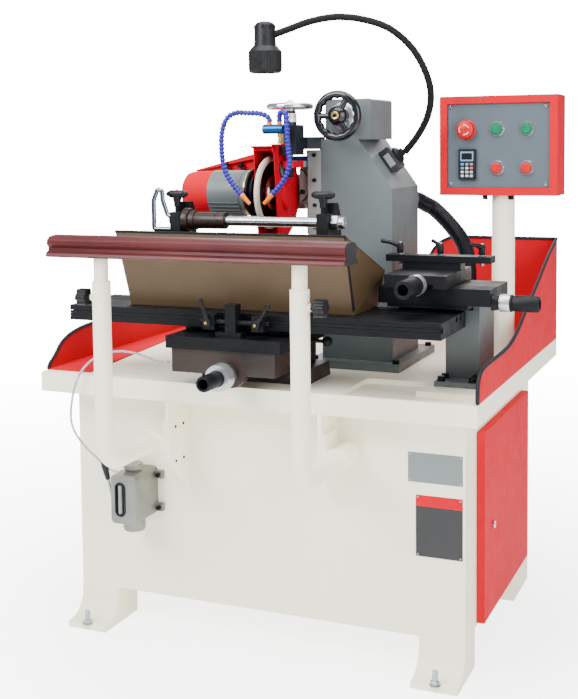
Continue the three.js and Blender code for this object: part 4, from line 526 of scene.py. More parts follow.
# dyed anodised aluminium: metal seen through a coloured oxide, satin
blueAnodised = finish("blueAnodisedAluminium", {"mill": {"size": 9, "Detail": 4.0, "stretch": (1.0, 8.0, 8.0)}},
                      ["#063a70", ("mill", whole, whole, "#0b5c9c")], ("mill", middling, (0.22, 0.36)), Metallic=0.85)
# translucent nylon line with a lilac cast, oil film inside
nylonLine = finish("clearNylonLine", {"film": {"size": 14, "Detail": 2.0}},
                   ["#b5a9c4", ("film", whole, whole, "#ddd6e2")], ("film", middling, (0.16, 0.3)), IOR=1.52,
                   Transmission_Weight=0.55)
print("stage: finishes ready")

# cords: the ribbed cable conduit and the oil line
conduit = {"radius": 22.0, "root": 21.3, "pitch": 5.0, "plain": 46.0, "start": (244, 556.3, 1106), "footZ": 680.6,
           "steps": 8, "route": [(244, 596, 1106), (252, 622, 1103), (270, 640, 1090), (285, 654, 1080),
                                 (312, 656, 1056), (338, 656, 1029), (362, 656, 999), (378, 656, 965),
                                 (385, 656, 925), (387, 656, 880), (387, 656, 830), (387, 656, 780),
                                 (387, 656, 740)]}
oilLine = {"radius": 3.0, "points": 220,
           "route": [(-374.3, 51, 420.8), (-384, 51, 421), (-394, 51, 422), (-414, 50, 430), (-440, 46, 452),
                     (-468, 34, 484), (-484, 16, 520), (-484, -4, 560), (-474, -16, 604), (-460, -22, 648),
                     (-444, -18, 688), (-424, -4, 716), (-398, 14, 733), (-366, 26, 741), (-330, 28, 742),
                     (-292, 22, 738), (-256, 12, 732), (-226, -4, 729), (-206, -8, 730), (-194, -8, 730),
                     (-181.3, -8, 730)]}


def layCord(node, name, line, radii, material, sides):
    piece = stand(node, name, tube(line, radii, sides), material)


exitX, exitY, exitZ = conduit["start"]
footX, footY = conduit["route"][-1][:2]
conduitLine = throughPoints([conduit["start"], (exitX, exitY + conduit["radius"], exitZ), *conduit["route"],
                             (footX, footY, conduit["footZ"] + 2 * conduit["radius"]),
                             (footX, footY, conduit["footZ"])])
ribs = round(lengthOf(conduitLine) / conduit["pitch"])
conduitLine = evenly(conduitLine, ribs * conduit["steps"] + 1)
phase = np.arange(ribs * conduit["steps"] + 1) / conduit["steps"]
groove = (0.5 - 0.5 * np.cos(2 * np.pi * phase)) ** 2       # 0 on a crest, 1 in a groove
along = phase / ribs * lengthOf(conduitLine)
groove[np.minimum(along, along[-1] - along) < conduit["plain"]] = 0.0
layCord("cable_conduit", "ribbedCableConduit", conduitLine,
        conduit["radius"] - (conduit["radius"] - conduit["root"]) * groove, conduitPlastic,
        36)
layCord("oil_tube", "clearOilLine", evenly(throughPoints(oilLine["route"]), oilLine["points"]), oilLine["radius"],
        nylonLine, 14)
print("stage: cords")

# handwheels: profiles run from each wheel's centre
frontWheel = {"centre": (151, 262, 1331), "rim": 10.6, "radius": 63.6, "scallops": 15, "hollow": 3.2,
              "spokes": (30, 270, 150)}
topWheel = {"centre": (22, 262, 1357), "rim": 8.0, "radius": 60.0, "spokes": (0, 120, 240)}


def circleLine(axis, centre, radius, count=144):
    u, v, _ = axisFrame(axis)
    a = fullTurn(count)[:, None]
    return np.asarray(centre, float) + radius * (np.cos(a) * u + np.sin(a) * v)


def spokes(axis, wheel, thick, thin):
    # tapered arms from near the centre to the middle of the rim
    u, v, _ = axisFrame(axis)
    stations = (wheel["radius"] - wheel["rim"]) * np.linspace(0.1, 1.0, 9)[:, None]
    return [tube(np.array(wheel["centre"], float) + stations * (math.cos(a) * u + math.sin(a) * v),
                 np.linspace(thick, thin, 9), 16) for a in np.radians(wheel["spokes"])]


centre, thickness = frontWheel["centre"], frontWheel["rim"]
reach = frontWheel["radius"] - thickness
rim, rimFaces = tube(circleLine("y", centre, reach), thickness, 28, closed=True)
away = (rim - centre) * (1, 0, 1)             # each point's way out from the wheel's axis
outward = np.linalg.norm(away, axis=1)
inner = np.clip((reach - outward) / thickness, 0, 1)
scallop = 0.5 - 0.5 * np.cos(frontWheel["scallops"] * np.arctan2(away[:, 0], away[:, 2]))
rim = rim + away / outward[:, None] * (frontWheel["hollow"] * inner * scallop)[:, None]
stand("front_handwheel", "handwheelRim", joined((rim, rimFaces), *spokes("y", frontWheel, 9.0, 6.4)), glossPhenolic)
stand("front_handwheel", "handwheelHub", lathe("y", [
    (8, -14), (14, -14), (18, -11), (23, -7), (25, -3), (25, 5), (20, 14), (20, 31), (11, 31)], centre),
    glossPhenolic, 0.4)
stand("front_handwheel", "handwheelNut", hollow("y", [
    (4.6, -13), (10.5, -13), (10.5, -19), (8.6, -21), (5.2, -20), (4.6, -17)], centre, 40), brass, 0.0)
detail("front_handwheel", "handwheelBore", lathe("y", [(4.5, -13), (4.5, -16.5), (1, -16.6)], centre, 24), blackSteel)
stand("front_handwheel", "handwheelDial", lathe("y", [
    (10, 31), (26, 31.4), (33, 36), (34, 38), (34, 56), (32.6, 58), (10, 58)], centre, 72), handwheelDial, 0.0)

centre = topWheel["centre"]
rimTube = tube(circleLine("z", centre, topWheel["radius"] - topWheel["rim"]), topWheel["rim"], 28, closed=True)
stand("top_handwheel", "topWheelRim", joined(rimTube, *spokes("z", topWheel, 6.5, 5.0)), chrome)
stand("top_handwheel", "topWheelHub", lathe("z", [
    (8, -18), (11, -18), (14, -8), (14, 9), (11, 12), (6, 12), (6, 15.5), (4, 16)], centre), chrome, 0.3)
stand("top_handwheel", "topWheelBoss", lathe("z", [(8, -18), (14, -18), (15.5, -14), (9.5, -7), (8, -7)], centre),
      blackMoulding, 0.3)
stand("top_handwheel", "topWheelDial", lathe("z", [
    (8, -39.6), (17, -39.6), (17, -31), (16.2, -30.6), (16.2, -26), (17, -25.6), (17, -19), (15, -17.6), (8, -17.6)],
    centre, 64), topDial, 0.0)
stand("top_handwheel", "feedScrew", lathe("z", [(6, -181), (7, -179.5), (7, -1)], centre, 32), blackSteel, 0.3)
print("stage: handwheels")

# motor: red fan cap, grey drum with fins below, brass ring and black stepped flange, all on one axis
motor = {"y": 250.0, "z": 1136.0, "left": -268.0, "seam": -185.0, "ring": -82.0, "radius": 58.5,
         "finAngles": (24, 156, 13), "finEnd": -97.0, "vents": 12}
middle = (0, motor["y"], motor["z"])
finY, finLeft = motor["y"] + motor["radius"], motor["left"]
stand("grinding_motor", "motorFanCap", lathe("x", [
    (0.5, 0), (30, 0), (37, 0.8), (46, 3.5), (52.5, 9), (55.5, 18), (56.6, 34), (57, 83), (13, 83)],
    (finLeft, *middle[1:]), 96), redCoat)
stand("grinding_motor", "motorDrum", hollow("x", [
    (13, 0), (58.5, 0), (58.5, 89), (57, 90), (57, 93), (58.5, 94), (58.5, 103), (13, 103)],
    (motor["seam"], *middle[1:]), 96), greyEnamel)
fin = block(motor["seam"] + 3, motor["finEnd"], finY - 1, finY + 2.4, motor["z"] - 1.3, motor["z"] + 1.3)
stand("grinding_motor", "motorFins", joined(*[turnedBy(fin, "x", -a, middle)
      for a in np.linspace(*motor["finAngles"])]), slateEnamel)
stand("grinding_motor", "motorBrassRing", hollow("x", [(50, 0), (60.5, 0), (60.5, 5), (50, 5)],
      (motor["ring"], *middle[1:]), 96), brass, 0.3)
stand("grinding_motor", "motorFlange", hollow("x", [
    (13, -77), (62, -77), (64, -75.6), (64, -70), (60, -69), (52, -68.6), (52, -62), (13, -62)], middle, 96),
    blackSteel, 0.0)
vent = block(finLeft - 0.1, finLeft + 1, motor["y"] + 12, motor["y"] + 28, motor["z"] - 1.6, motor["z"] + 1.6)
stand("grinding_motor", "fanCapVents", joined(*[turnedBy(vent, "x", 360 / motor["vents"] * i, middle)
      for i in range(motor["vents"])]), blackMoulding, 0.0)

# grinding wheel: a bevelled ring between two plates and two paper blotters
stand("grinding_wheel", "abrasiveWheel", hollow("x", [
    (13, -36), (90, -36), (93, -33), (93, -27), (90, -24), (13, -24)], middle, 144), abrasive)
for name, face, radius, material in (("wheelPlateLeft", -36.2, 80, wheelBodyPaintedReflection),
                                     ("wheelPlateRight", -24.2, 80, wheelBodyPaintedReflection),
                                     ("paperBlotterLeft", -36.45, 44, redPaper),
                                     ("paperBlotterRight", -23.9, 44, redPaper)):
    detail("grinding_wheel", name, hollow("x", [(13, 0), (radius, 0), (radius, 0.4), (13, 0.4)],
           (face, *middle[1:]), 96), material)
print("stage: motor and wheel")

# work arbor: bright bar, browned stop disc and sleeve, end nut
arborAxis = (0, 76.0, 1075.0)
stand("work_arbor", "arborBar", lathe("x", [(10.5, -227.5), (12.5, -225.5), (12.5, -152), (12.5, 206.6)], arborAxis),
      brightBar, 0.3)
stand("work_arbor", "arborDisc", hollow("x", [
    (12.5, -185.2), (29.5, -185.2), (30.5, -184), (30.5, -172), (28, -169), (24, -168.6), (24, -154), (21, -153),
    (21, -96), (20, -95), (20, -91), (21, -90), (21, -72.5), (19.5, -71), (12.5, -71)], arborAxis, 64),
    brownSteel, 0.0)
stand("work_arbor", "arborNut", joined(
    lathe("x", [(12.5, 206.8), (18.6, 206.8), (19, 208.4), (19, 224), (17.6, 225.4), (12.5, 225.4)], arborAxis, 6),
    lathe("x", [(14, 225.2), (14, 237.5), (12, 239.8), (4, 239.8), (3.4, 238)], arborAxis, 40)), groundSteel, 0.5)

# screws with graduated dials: infeed and the two template screws
knobs = {
    "infeed_knob": {"name": "infeed", "axis": "y", "centre": (-10, 0, 722), "dial": (-80, -112), "radius": 32,
                    "barrel": 19, "tip": -183, "bore": 12.5, "deep": 38},
    "lower_slide_knob": {"name": "lowerScrew", "axis": "x", "centre": (0, 187, 886), "dial": (582.6, 607),
                         "radius": 21, "barrel": 19.5, "tip": 675, "bore": 13, "deep": 30},
    "upper_slide_knob": {"name": "upperScrew", "axis": "y", "centre": (398, 0, 928), "dial": (129.4, 105),
                         "radius": 25, "barrel": 22.5, "tip": 17, "bore": 13, "deep": 30},
}
knurls, infeedShaft = 60, [(9, -8.4), (9, -50), (24, -54), (24, -80), (9, -80)]
for node, knob in knobs.items():
    axis, centre, name, tip, bore = [knob[key] for key in ("axis", "centre", "name", "tip", "bore")]
    (first, last), radius, barrel = knob["dial"], knob["radius"], knob["barrel"]
    way = 1 if last > first else -1
    dialFinish = graduated(name + "SatinDial", axis, centre, first, 9, "#c4c8cc", "#15171a", 50)
    stand(node, name + "Dial", lathe(axis, [
        (radius - 6, first), (radius - 0.8, first), (radius, first + way), (radius, last - way * 7),
        (radius - 1.2, last), (8, last)], centre, 72), dialFinish, 0.0)
    if node == "infeed_knob":
        stand(node, name + "Shaft", lathe(axis, infeedShaft, centre), groundSteel, 0.4)
    stand(node, name + "Ring", lathe(axis, [
        (8, last), (barrel + 1, last), (barrel + 1, last + way * 5), (barrel - 2, last + way * 6),
        (barrel - 2, last + way * 9), (8, last + way * 9)], centre, 64), blackSteel, 0.3)
    floorOf = tip - way * knob["deep"]
    stand(node, name + "Barrel", ribbed(axis, [
        (10, last + way * 9, 0), (barrel - 1, last + way * 9, 0), (barrel - 0.2, last + way * 11, 0.5),
        (barrel - 0.2, tip - way * 5, 0.5), (barrel - 1.6, tip - way, 0), (bore + 1, tip, 0), (bore, tip - way, 0),
        (bore, floorOf, 0), (1, floorOf, 0)], centre, knurls, 3 * knurls), blackSteel, 0.0)
print("stage: screws")

# coolant hoses: short acetal joints that plug into each other, ending in a tapered nozzle
hoses = {
    "left": [(-6, 194, 1316.4), (-6, 194, 1323.8), (-16, 190, 1334), (-34, 186, 1339), (-58, 180, 1340),
             (-90, 176, 1341), (-110, 173, 1331), (-122, 170, 1310), (-127, 168, 1283), (-127, 167, 1245),
             (-123, 166, 1214), (-113, 165, 1186), (-93, 163, 1159), (-69, 160, 1135)],
    "right": [(22, 194, 1316.4), (22, 194, 1323.8), (25, 189, 1336), (32, 186, 1341), (42, 182, 1338),
              (47, 180, 1319), (50, 176, 1281), (55, 172, 1243), (59, 169, 1217), (55, 167, 1194), (40, 163, 1164),
              (16, 159, 1137)],
}
joint = {"pitch": 10.0, "radii": (5.4, 6.4, 7.3, 7.5, 7.5, 7.1, 6.2, 5.4), "nozzle": (6.2, 6.6, 6.4, 5.0, 4.4),
         "nozzleAt": (0, 3, 8, 25, 33)}
for side, route in hoses.items():
    hoseLine = throughPoints(route)
    count, steps = round(lengthOf(hoseLine) / joint["pitch"]), len(joint["radii"])
    hoseLine = evenly(hoseLine, count * steps + 1)
    radii = joint["radii"] * count + joint["radii"][:1]
    stand("coolant_hose_" + side, "jointedHose" + side, tube(hoseLine, radii, 20), violetHose)
    onwards = hoseLine[-1] - hoseLine[-2]
    spots = hoseLine[-1] + onwards / np.linalg.norm(onwards) * np.array(joint["nozzleAt"])[:, None]
    stand("coolant_hose_" + side, "hoseNozzle" + side, tube(spots, joint["nozzle"], 24), orangeNozzle)
detail("coolant_block", "hoseSockets", joined(*[lathe("z", [(5.6, 1308), (6.6, 1311.4), (6.6, 1316), (5, 1317.5)],
       (x, 194, 0), 24) for x in (-6, 22)]), orangeNozzle)
stand("coolant_block", "manifoldBarrel", lathe("x", [(9, -23), (12, -21.4), (12, 32.4), (9, 34)], (0, 194, 1299)),
      blueAnodised)
stand("coolant_block", "manifoldFitting", joined(
    lathe("z", [(6, 1262.4), (9.5, 1262.4), (9.5, 1266), (6.6, 1267), (6.6, 1292)], (22, 202, 0), 32),
    hexHead("z", (22, 202, 0), 1267, 1276, 17),
    lathe("z", [(8.2, 1278), (9, 1280), (9, 1286), (8.2, 1288)], (22, 202, 0), 32)), brass, 0.3)
print("stage: hoses")

# work lamp: ribbed bell, woven steel gooseneck, die-cast magnet foot
lamp = {"neck": 9.0, "weave": 3.2, "centre": (-18, 200.5, 0), "top": 1568.0, "vents": 9, "ribs": 40,
        "route": [(276, 430, 1238), (304, 421, 1268), (326, 411, 1296), (350, 392, 1336), (362, 372, 1383),
                  (357, 353, 1430), (333, 334, 1486), (300, 315, 1526), (266, 296, 1551), (208, 277, 1570),
                  (149, 258, 1576), (89, 238, 1566), (43, 219, 1549), (0, 203, 1533)],
        "stem": [(1, 1568), (13, 1567.4), (20, 1565), (24.5, 1560), (26, 1554), (27.5, 1514), (28.5, 1506),
                 (1, 1506)],
        "ring": [(25.5, 1507, 0), (30.5, 1506.6, 0), (39, 1497, 0), (42, 1493, 0.26), (42, 1491, 1.3),
                 (42, 1449, 1.3), (41.4, 1447, 0.26), (39, 1441.5, 0), (36, 1440, 0), (33, 1442, 0), (31, 1466, 0),
                 (10, 1470, 0)],
        "vent": [(0.6, -6), (3.4, -4), (4, 0), (3.4, 4), (0.6, 6)], "ventOut": 24.2, "ventDown": 14.0,
        "lens": [(1, 1452), (31, 1452), (31, 1454), (1, 1454)]}
neckLine = throughPoints(lamp["route"])
coils = round(lengthOf(neckLine) / lamp["weave"])
neckLine = evenly(neckLine, coils * 4 + 1)
weave = 0.6 * np.sin(np.pi * np.arange(coils * 4 + 1) / 4) ** 2
stand("work_lamp", "lampGooseneck", tube(neckLine, lamp["neck"] - weave, 20), blackRubber)
centre = lamp["centre"]
stand("work_lamp", "lampStem", lathe("z", lamp["stem"], centre, 72), blackMoulding)
stand("work_lamp", "lampRing", ribbed("z", lamp["ring"], centre, lamp["ribs"], lamp["ribs"] * 8), blackMoulding)
ventSpots = circleLine("z", (*centre[:2], lamp["top"] - lamp["ventDown"]), lamp["ventOut"], lamp["vents"])
detail("work_lamp", "lampVents", joined(*[lathe("z", lamp["vent"], spot, 14) for spot in ventSpots]), blackSteel)
detail("work_lamp", "lampLens", lathe("z", lamp["lens"], centre), frostedLens)
magnet = {"onFace": (226.4, 430, 1208.7), "slope": (91.0, 127.0),
          "plan": [(-25, -31), (25, -31), (25, 31), (-25, 31)],
          "taper": ((1, 26), (0.96, 31), (0.8, 34)),
          "dome": [(22, 33), (22, 40), (17, 44.5), (11, 46), (11, 53), (7, 54)]}
lie = math.atan2(*magnet["slope"])
chamferFrame = np.array([(0, 1.0, 0), (-math.sin(lie), 0, math.cos(lie)), (math.cos(lie), 0, math.sin(lie))])


def onChamfer(shape):
    # from the foot's own frame (across, up the slope, away) to the column's chamfer
    return magnet["onFace"] + shape[0] @ chamferFrame, shape[1]


magnetTop = grid(np.array([[(x * share, y * share, height) for x, y in magnet["plan"]]
                           for share, height in magnet["taper"]]))
stand("work_lamp", "lampMagnetFoot", onChamfer(joined(bar("z", magnet["plan"], 0.6, 26), magnetTop)), darkDie, 1.5)
stand("work_lamp", "lampFootJoint", onChamfer(lathe("z", magnet["dome"], (0, 0, 0))), blackMoulding, 0.4)
detail("work_lamp", "lampFootPlate", onChamfer(block(-25.8, -25.2, -20, 16, 8, 25)), paleEnamel, 0.2)
print("stage: lamp")

# splash guard: folded sheet with a grey rubber channel over its cut edge; profiles are (back, up)
guard = {"half": 575.0, "back": 960.0, "foot": 680.3, "low": 773.3, "high": 975.3, "sheet": 3.0, "curveFrom": 280.0,
         "curve": 62.0, "trim": 4.8, "flange": 129.0, "neck": 77.4, "rightFrom": 6, "leftFrom": 29, "neckAt": 518,
         "right": [(6, 683), (6, 702), (9, 722), (18, 737), (34, 748), (68, 754), (134, 756), (216, 757), (303, 760),
                   (354, 767), (421, 784), (519, 821), (623, 858), (733, 900), (847, 943), (957, 975)],
         "left": [(29, 681), (34, 692), (61, 713), (89, 739), (130, 757), (190, 768), (262, 773)]}
half, back, guardFoot, low, high, sheet, curve = [guard[key] for key in
                                                  ("half", "back", "foot", "low", "high", "sheet", "curve")]


def archOf(a, b, c, count=12):
    # quadratic arch: a (1 - t)^2 + 2 b t (1 - t) + c t^2
    t = np.linspace(0, 1, count)[:, None]
    return a * (1 - t) ** 2 + 2 * b * t * (1 - t) + c * t ** 2


def rearPoint(curves, z):
    # a point of the rear panel's S-curve, so many curve radii left of where it starts
    return np.array([guard["curveFrom"] - curves * curve, back - sheet / 2, z])


rightLine, leftLine = [throughPoints([(x, y, z) for y, z in guard[side]], 10)
                       for side, x in (("right", half - sheet / 2), ("left", sheet / 2 - half))]
rearTop = np.vstack([archOf(rearPoint(0, high), rearPoint(1, high), rearPoint(1.5, high - curve)),
                     archOf(rearPoint(1.5, high - curve), rearPoint(2.4, low), rearPoint(3.6, low))[1:]])
rearY = back - sheet / 2
trimLine = np.vstack([rightLine, [[half - 1.5, rearY, high]], rearTop, [[1.5 - half, rearY, low]], leftLine[::-1]])
rightPanel = bar("x", [(y, z) for _, y, z in rightLine] + [
    (back, high), (back, guardFoot), (guard["rightFrom"], guardFoot)], half - sheet, half)
leftPanel = bar("x", [(y, z) for _, y, z in leftLine] + [
    (back, low), (back, guardFoot), (guard["leftFrom"], guardFoot)], -half, sheet - half)
rearPanel = bar("y", [(half, guardFoot), (half, high)] + [(x, z) for x, _, z in rearTop]
                + [(-half, low), (-half, guardFoot)], back - sheet, back)
neckX = guard["neck"] - half
flange = bar("z", [(-half, guard["leftFrom"]), (guard["flange"] - half, guard["leftFrom"]), (neckX, guard["neckAt"]),
                   (neckX, back), (-half, back)], guardFoot, guardFoot + sheet)
stand("splash_guard", "guardSheet", joined(rightPanel, leftPanel, rearPanel, flange), redCoat)
detail("splash_guard", "guardEdgeTrim", tube(evenly(trimLine, 420), guard["trim"], 10), greyRubber)
detail("splash_guard", "guardScrew", lathe("x", [(6, -572.1), (6, -570.4), (4, -569)], (0, 288, 726.8), 24),
    blackSteel)

# drip tray: rolled black bead along the front edge and down the right corner
detail("drip_tray", "trayBead", tube([
    (-355, 20, 1047.5), (0, 20, 1047.5), (259, 20, 1047.5), (265.4, 59, 870)], 3.2, 10), blackRubber)
detail("drip_tray", "trayRightEdge", tube([(259.5, 20.5, 1047.5), (270, 120, 1001), (282.5, 235, 947)], 1.8, 8),
    tanEnamel)

# cabinet: bare plates with rivets, levelling bolts, flange bolts of the hand rest
for name, (left, lowest, highest), material in (("blankPlateUpper", (386, 467, 538), blankTin),
                                                ("blankPlateLower", (405, 290, 410), darkTin),
                                                ("blankPlateStrip", (405, 410.4, 437), redCoat)):
    detail("cabinet", name, block(left, 518, 92.1, 92.9, lowest, highest), material, 0.2)
rivetSpots = [(391, 472), (513, 472), (391, 533), (513, 533), (410, 295), (513, 295), (410, 432), (513, 432)]
detail("cabinet", "plateRivets", joined(*[lathe("y", [(2.4, 92.2), (2.2, 91.2), (1.2, 90.7)], (x, 0, z), 16)
       for x, z in rivetSpots]), groundSteel)
for side, x in (("Left", -467), ("Right", 471)):
    detail("cabinet", "levellingBolt" + side, joined(
        lathe("z", [(7, 14), (7, 48), (5.4, 50)], (x, 24, 0), 24),
        lathe("z", [(14, 15.6), (14, 17.6), (8, 18)], (x, 24, 0), 32), hexHead("z", (x, 24, 0), 17.6, 27, 22)),
        groundSteel)
bolts = [lathe("x", [(3.6, 0), (3.6, way * 1.6), (2.6, way * 2.6)], (x, y, z), 16)
         for x, way in ((-197, 1), (-207.4, -1), (197, -1), (207.4, 1)) for y in (26, 66) for z in (475, 562)]
detail("cabinet", "gussetBolts", joined(*bolts), blackSteel, 0.3)
print("stage: guard, tray, cabinet")

# hand rest: black caps on the rail's ends, the outline in shares of the rail's depth and height
railCap = {"front": -262.0, "deep": 82.0, "low": 1008.0, "tall": 50.0,
           "ends": {"Right": (360.6, 363.5), "Left": (-370.5, -367.6)},
           "outline": [(0.08, 0.01), (0.92, 0.01), (0.98, 0.08), (0.95, 0.2), (0.84, 0.29), (0.82, 0.42), (0.91, 0.6),
                       (0.89, 0.8), (0.77, 0.94), (0.5, 0.985), (0.23, 0.94), (0.11, 0.8), (0.09, 0.6), (0.18, 0.42),
                       (0.16, 0.29), (0.05, 0.2), (0.02, 0.08)]}
capOutline = [(railCap["front"] + a * railCap["deep"], railCap["low"] + b * railCap["tall"])
              for a, b in railCap["outline"]]
for side, ends in railCap["ends"].items():
    detail("hand_rest_rail", "railEndCap" + side, bar("x", capOutline, *ends), blackMoulding, 0.8)

# control panel: screws, bezels, keypad; profiles run from the plate's face
board = {"face": 485.7, "stations": [(504, 1294), (581, 1294), (504, 1194), (581, 1194)], "stop": (424, 1293),
         "pad": (428, 1204), "screws": [(384, 1351), (630, 1351), (384, 1153), (630, 1153)],
         "screw": [(5.5, 0), (5.5, -1.4), (4.6, -2.6), (0.5, -3)],
         "bezel": [(14.6, 0), (19.4, 0), (19.4, -1.4), (17.8, -3), (16.2, -8), (14.6, -8)],
         "collar": [(19, 0), (26, 0), (26, -3), (23.5, -5.5), (19, -5.5)], "arcs": (20, 140, 260), "arcRadius": 12.5}
face, (stopX, stopZ), (padX, padZ) = board["face"], board["stop"], board["pad"]
detail("control_plate", "panelScrews", joined(*[lathe("y", board["screw"], (x, face, z), 24)
       for x, z in board["screws"]]), chrome)
detail("control_plate", "buttonBezels", joined(*[hollow("y", board["bezel"], (x, face, z))
       for x, z in board["stations"]]), chrome)
detail("control_plate", "stopCollar", hollow("y", board["collar"], (stopX, face, stopZ), 56), redButton)
arcs = []
for begin in board["arcs"]:
    a = np.radians(np.linspace(begin, begin + 75, 14))
    arcs.append(tube(np.stack([stopX + board["arcRadius"] * np.cos(a), np.full(14, 460.3),
                               stopZ + board["arcRadius"] * np.sin(a)], -1), 1.1, 8))
detail("emergency_stop_button", "stopTurnArcs", joined(*arcs), whiteInk)
detail("control_plate", "keypadCase", block(padX - 22.6, padX + 22.6, 475.6, 486, padZ - 39.6, padZ + 39.6),
    blackMoulding, 1.2)
detail("control_plate", "keypadDisplayFrame", block(padX - 17, padX + 17, 475.0, 476, padZ + 8, padZ + 33),
    skyFrame, 0.3)
detail("control_plate", "keypadDisplay", block(padX - 14, padX + 14, 474.7, 475.6, padZ + 12, padZ + 29),
    darkGlass, 0.2)
keys = {"cyanKeys": ([(-12, 0), (0, 0), (-12, -10)], skyFrame), "pinkKeys": ([(12, 0), (12, -10)], pinkKey),
        "greyKeys": ([(0, -10), (-12, -20), (0, -20), (12, -20), (-12, -30), (0, -30), (12, -30)], paleBezel)}
for name, (spots, material) in keys.items():
    caps = [block(padX + x - 4, padX + x + 4, 474.8, 476, padZ + z - 3, padZ + z + 3) for x, z in spots]
    detail("control_plate", name, joined(*caps), material, 0.5)
detail("control_box", "boxFixings", joined(*[socketHead("z", (x, 503, 0), 1123.2, 1112, 7) for x in (470, 538)]),
    blackSteel)
print("stage: rest and panel")

# grinding head: window, bolts, wing clips, blue cap of the fine slide
window = {"middle": (256, 1198), "size": (14, 20), "points": 40}
swivel = {"centre": (-10, 345.2, 1152), "radius": 50.4, "scale": (30, 148, 40)}
a = fullTurn(window["points"])
(windowY, windowZ), (windowWide, windowTall) = window["middle"], window["size"]
windowRim = np.stack([np.full(window["points"], 0.6), windowY + windowWide * np.cos(a),
                      windowZ + windowTall * np.sin(a)], -1)
glass = np.stack([windowY + (windowWide - 1) * np.cos(a), windowZ + (windowTall - 1) * np.sin(a)], -1)
detail("wheel_guard", "guardWindowRim", tube(windowRim, 1.6, 10, closed=True), blackRubber)
detail("wheel_guard", "guardWindow", bar("x", glass, 0.1, 0.9), clearSight)
detail("head_slide", "fineSlideCap", block(-8, 40.5, 334, 419.9, 1215.3, 1229.2), blueAnodised, 1.0)
detail("head_slide", "nutShroud", block(6.3, 37.7, 246.3, 312, 1200.2, 1217.9), redCoat, 0.8)
a = np.radians(np.linspace(*swivel["scale"]))[:, None]
scaleLine = swivel["centre"] + swivel["radius"] * (np.sin(a) * (1, 0, 0) + np.cos(a) * (0, 0, 1))
detail("head_slide", "swivelScale", tube(scaleLine, 1.5, 8), blackSteel)
detail("head_slide", "swivelLockScrew", socketHead("y", (22, 0, 1136), 345, 336, 6), blackSteel)
detail("coarse_slide", "slideBolts", joined(*[socketHead("y", (61, 0, z), 330.2, 325)
       for z in (1232, 1167, 1102, 1045)]), blackSteel)
for number, x in enumerate((-184, -142)):
    wing = turnedBy(block(x - 10, x + 10, 309.5, 312.5, 1198, 1204), "y", 20, (x, 311, 1201))
    detail("head_cover", f"coverWingScrew{number + 1}", joined(
        lathe("z", [(3, 1197), (3, 1216)], (x, 311, 0), 16), lathe("z", [(7, 1204), (7, 1210)], (x, 311, 0), 20),
        wing), blackMoulding, 0.4)
detail("head_column", "columnBolts", joined(*[hexHead("z", (x, y, 0), 700.3, 709.5, 19)
       for x in (64.5, 286) for y in (313, 602)]), blackSteel, 0.4)
detail("long_table", "slotShadow", block(-487.5, 488.5, 9.6, 10.4, 836.5, 844.5), blackSteel)
detail("cross_slide", "slideFrontFill", block(-108, 46, -49.7, -26, 774.7, 787), blackSteel, 0.3)

# lubricator: sight tube behind a black frame, ribbed cap, screws in the ears; lever with a tapered sleeve
pump = {"sight": (-333, 374), "half": 13, "reach": 29, "front": -20.4, "cap": (-324, 32, 0), "capRibs": 24,
        "lever": (-372, 20, 330), "lean": 20}
sightX, sightZ = pump["sight"]
a = fullTurn(48)
sightLine = np.stack([sightX + pump["half"] * np.cos(a), np.full(48, pump["front"]),
                      sightZ + np.where(np.sin(a) >= 0, pump["reach"], -pump["reach"])
                      + pump["half"] * np.sin(a)], -1)
detail("oil_pump_body", "sightFrame", tube(sightLine, 2.6, 10, closed=True), blackMoulding)
detail("oil_pump_body", "sightBack", bar("y", sightLine[:, [0, 2]], -17.2, -16.2), blackMoulding)
detail("oil_pump_body", "sightTube", lathe("z", [(4.5, -36), (5.2, -35), (5.2, 35), (4.5, 36)],
       (sightX, -19.4, sightZ), 24), clearSight)
capRows = [(20, 437, 0), (25.2, 443, 1.764), (25.2, 454, 1.764), (23, 456.2, 0), (2, 456.4, 0)]
detail("oil_pump_body", "ribbedFillerCap", ribbed("z", capRows, pump["cap"], pump["capRibs"], 144), greyDie)
detail("oil_pump_body", "earScrews", joined(*[socketHead("y", (x, 0, z), 78.5, 72, 6) for x in (-369.5, -278.5)
       for z in (331, 417)]), blackSteel)
pivot = pump["lever"]
rod = joined(lathe("z", [(3.6, 0), (3.6, 110)], pivot, 20),
             lathe("x", [(10, -6), (11, -5), (11, 5), (10, 6)], pivot, 32))
sleeve = lathe("z", [(4, 96), (6, 98), (8.8, 138), (8, 147), (4, 150)], pivot, 32)
stand("oil_pump_lever", "pumpLeverRod", turnedBy(rod, "x", pump["lean"], pivot), groundSteel)
stand("oil_pump_lever", "pumpLeverSleeve", turnedBy(sleeve, "x", pump["lean"], pivot), blackMoulding)
print("stage: head and lubricator")

# levers, wing knobs and bail
stopLevers = {"left": (-69, -17), "right": (59, 33)}
stopLever = {"y": -40.3, "z": 840, "long": 56, "shares": (0.1, 0.3, 0.5, 0.7, 0.85, 1),
             "radii": (6.6, 5.9, 5.0, 4.4, 4.6, 4.8)}
for side, (x, lean) in stopLevers.items():
    hinge = (x, stopLever["y"], stopLever["z"])
    line = [(*hinge[:2], hinge[2] + stopLever["long"] * share) for share in stopLever["shares"]]
    eye = lathe("y", [(8, -33.3), (9.8, -34.6), (9.8, -46), (8.4, -47.3)], (x, 0, hinge[2]), 40)
    stand("stop_lever_" + side, side + "StopLever",
          joined(turnedBy(rounded(line, stopLever["radii"]), "y", lean, hinge), eye), blackMoulding)
    detail("stop_lever_" + side, side + "PivotScrew", hexHead("y", (x, 0, hinge[2]), -46, -49.5, 8), brass, 0.3)

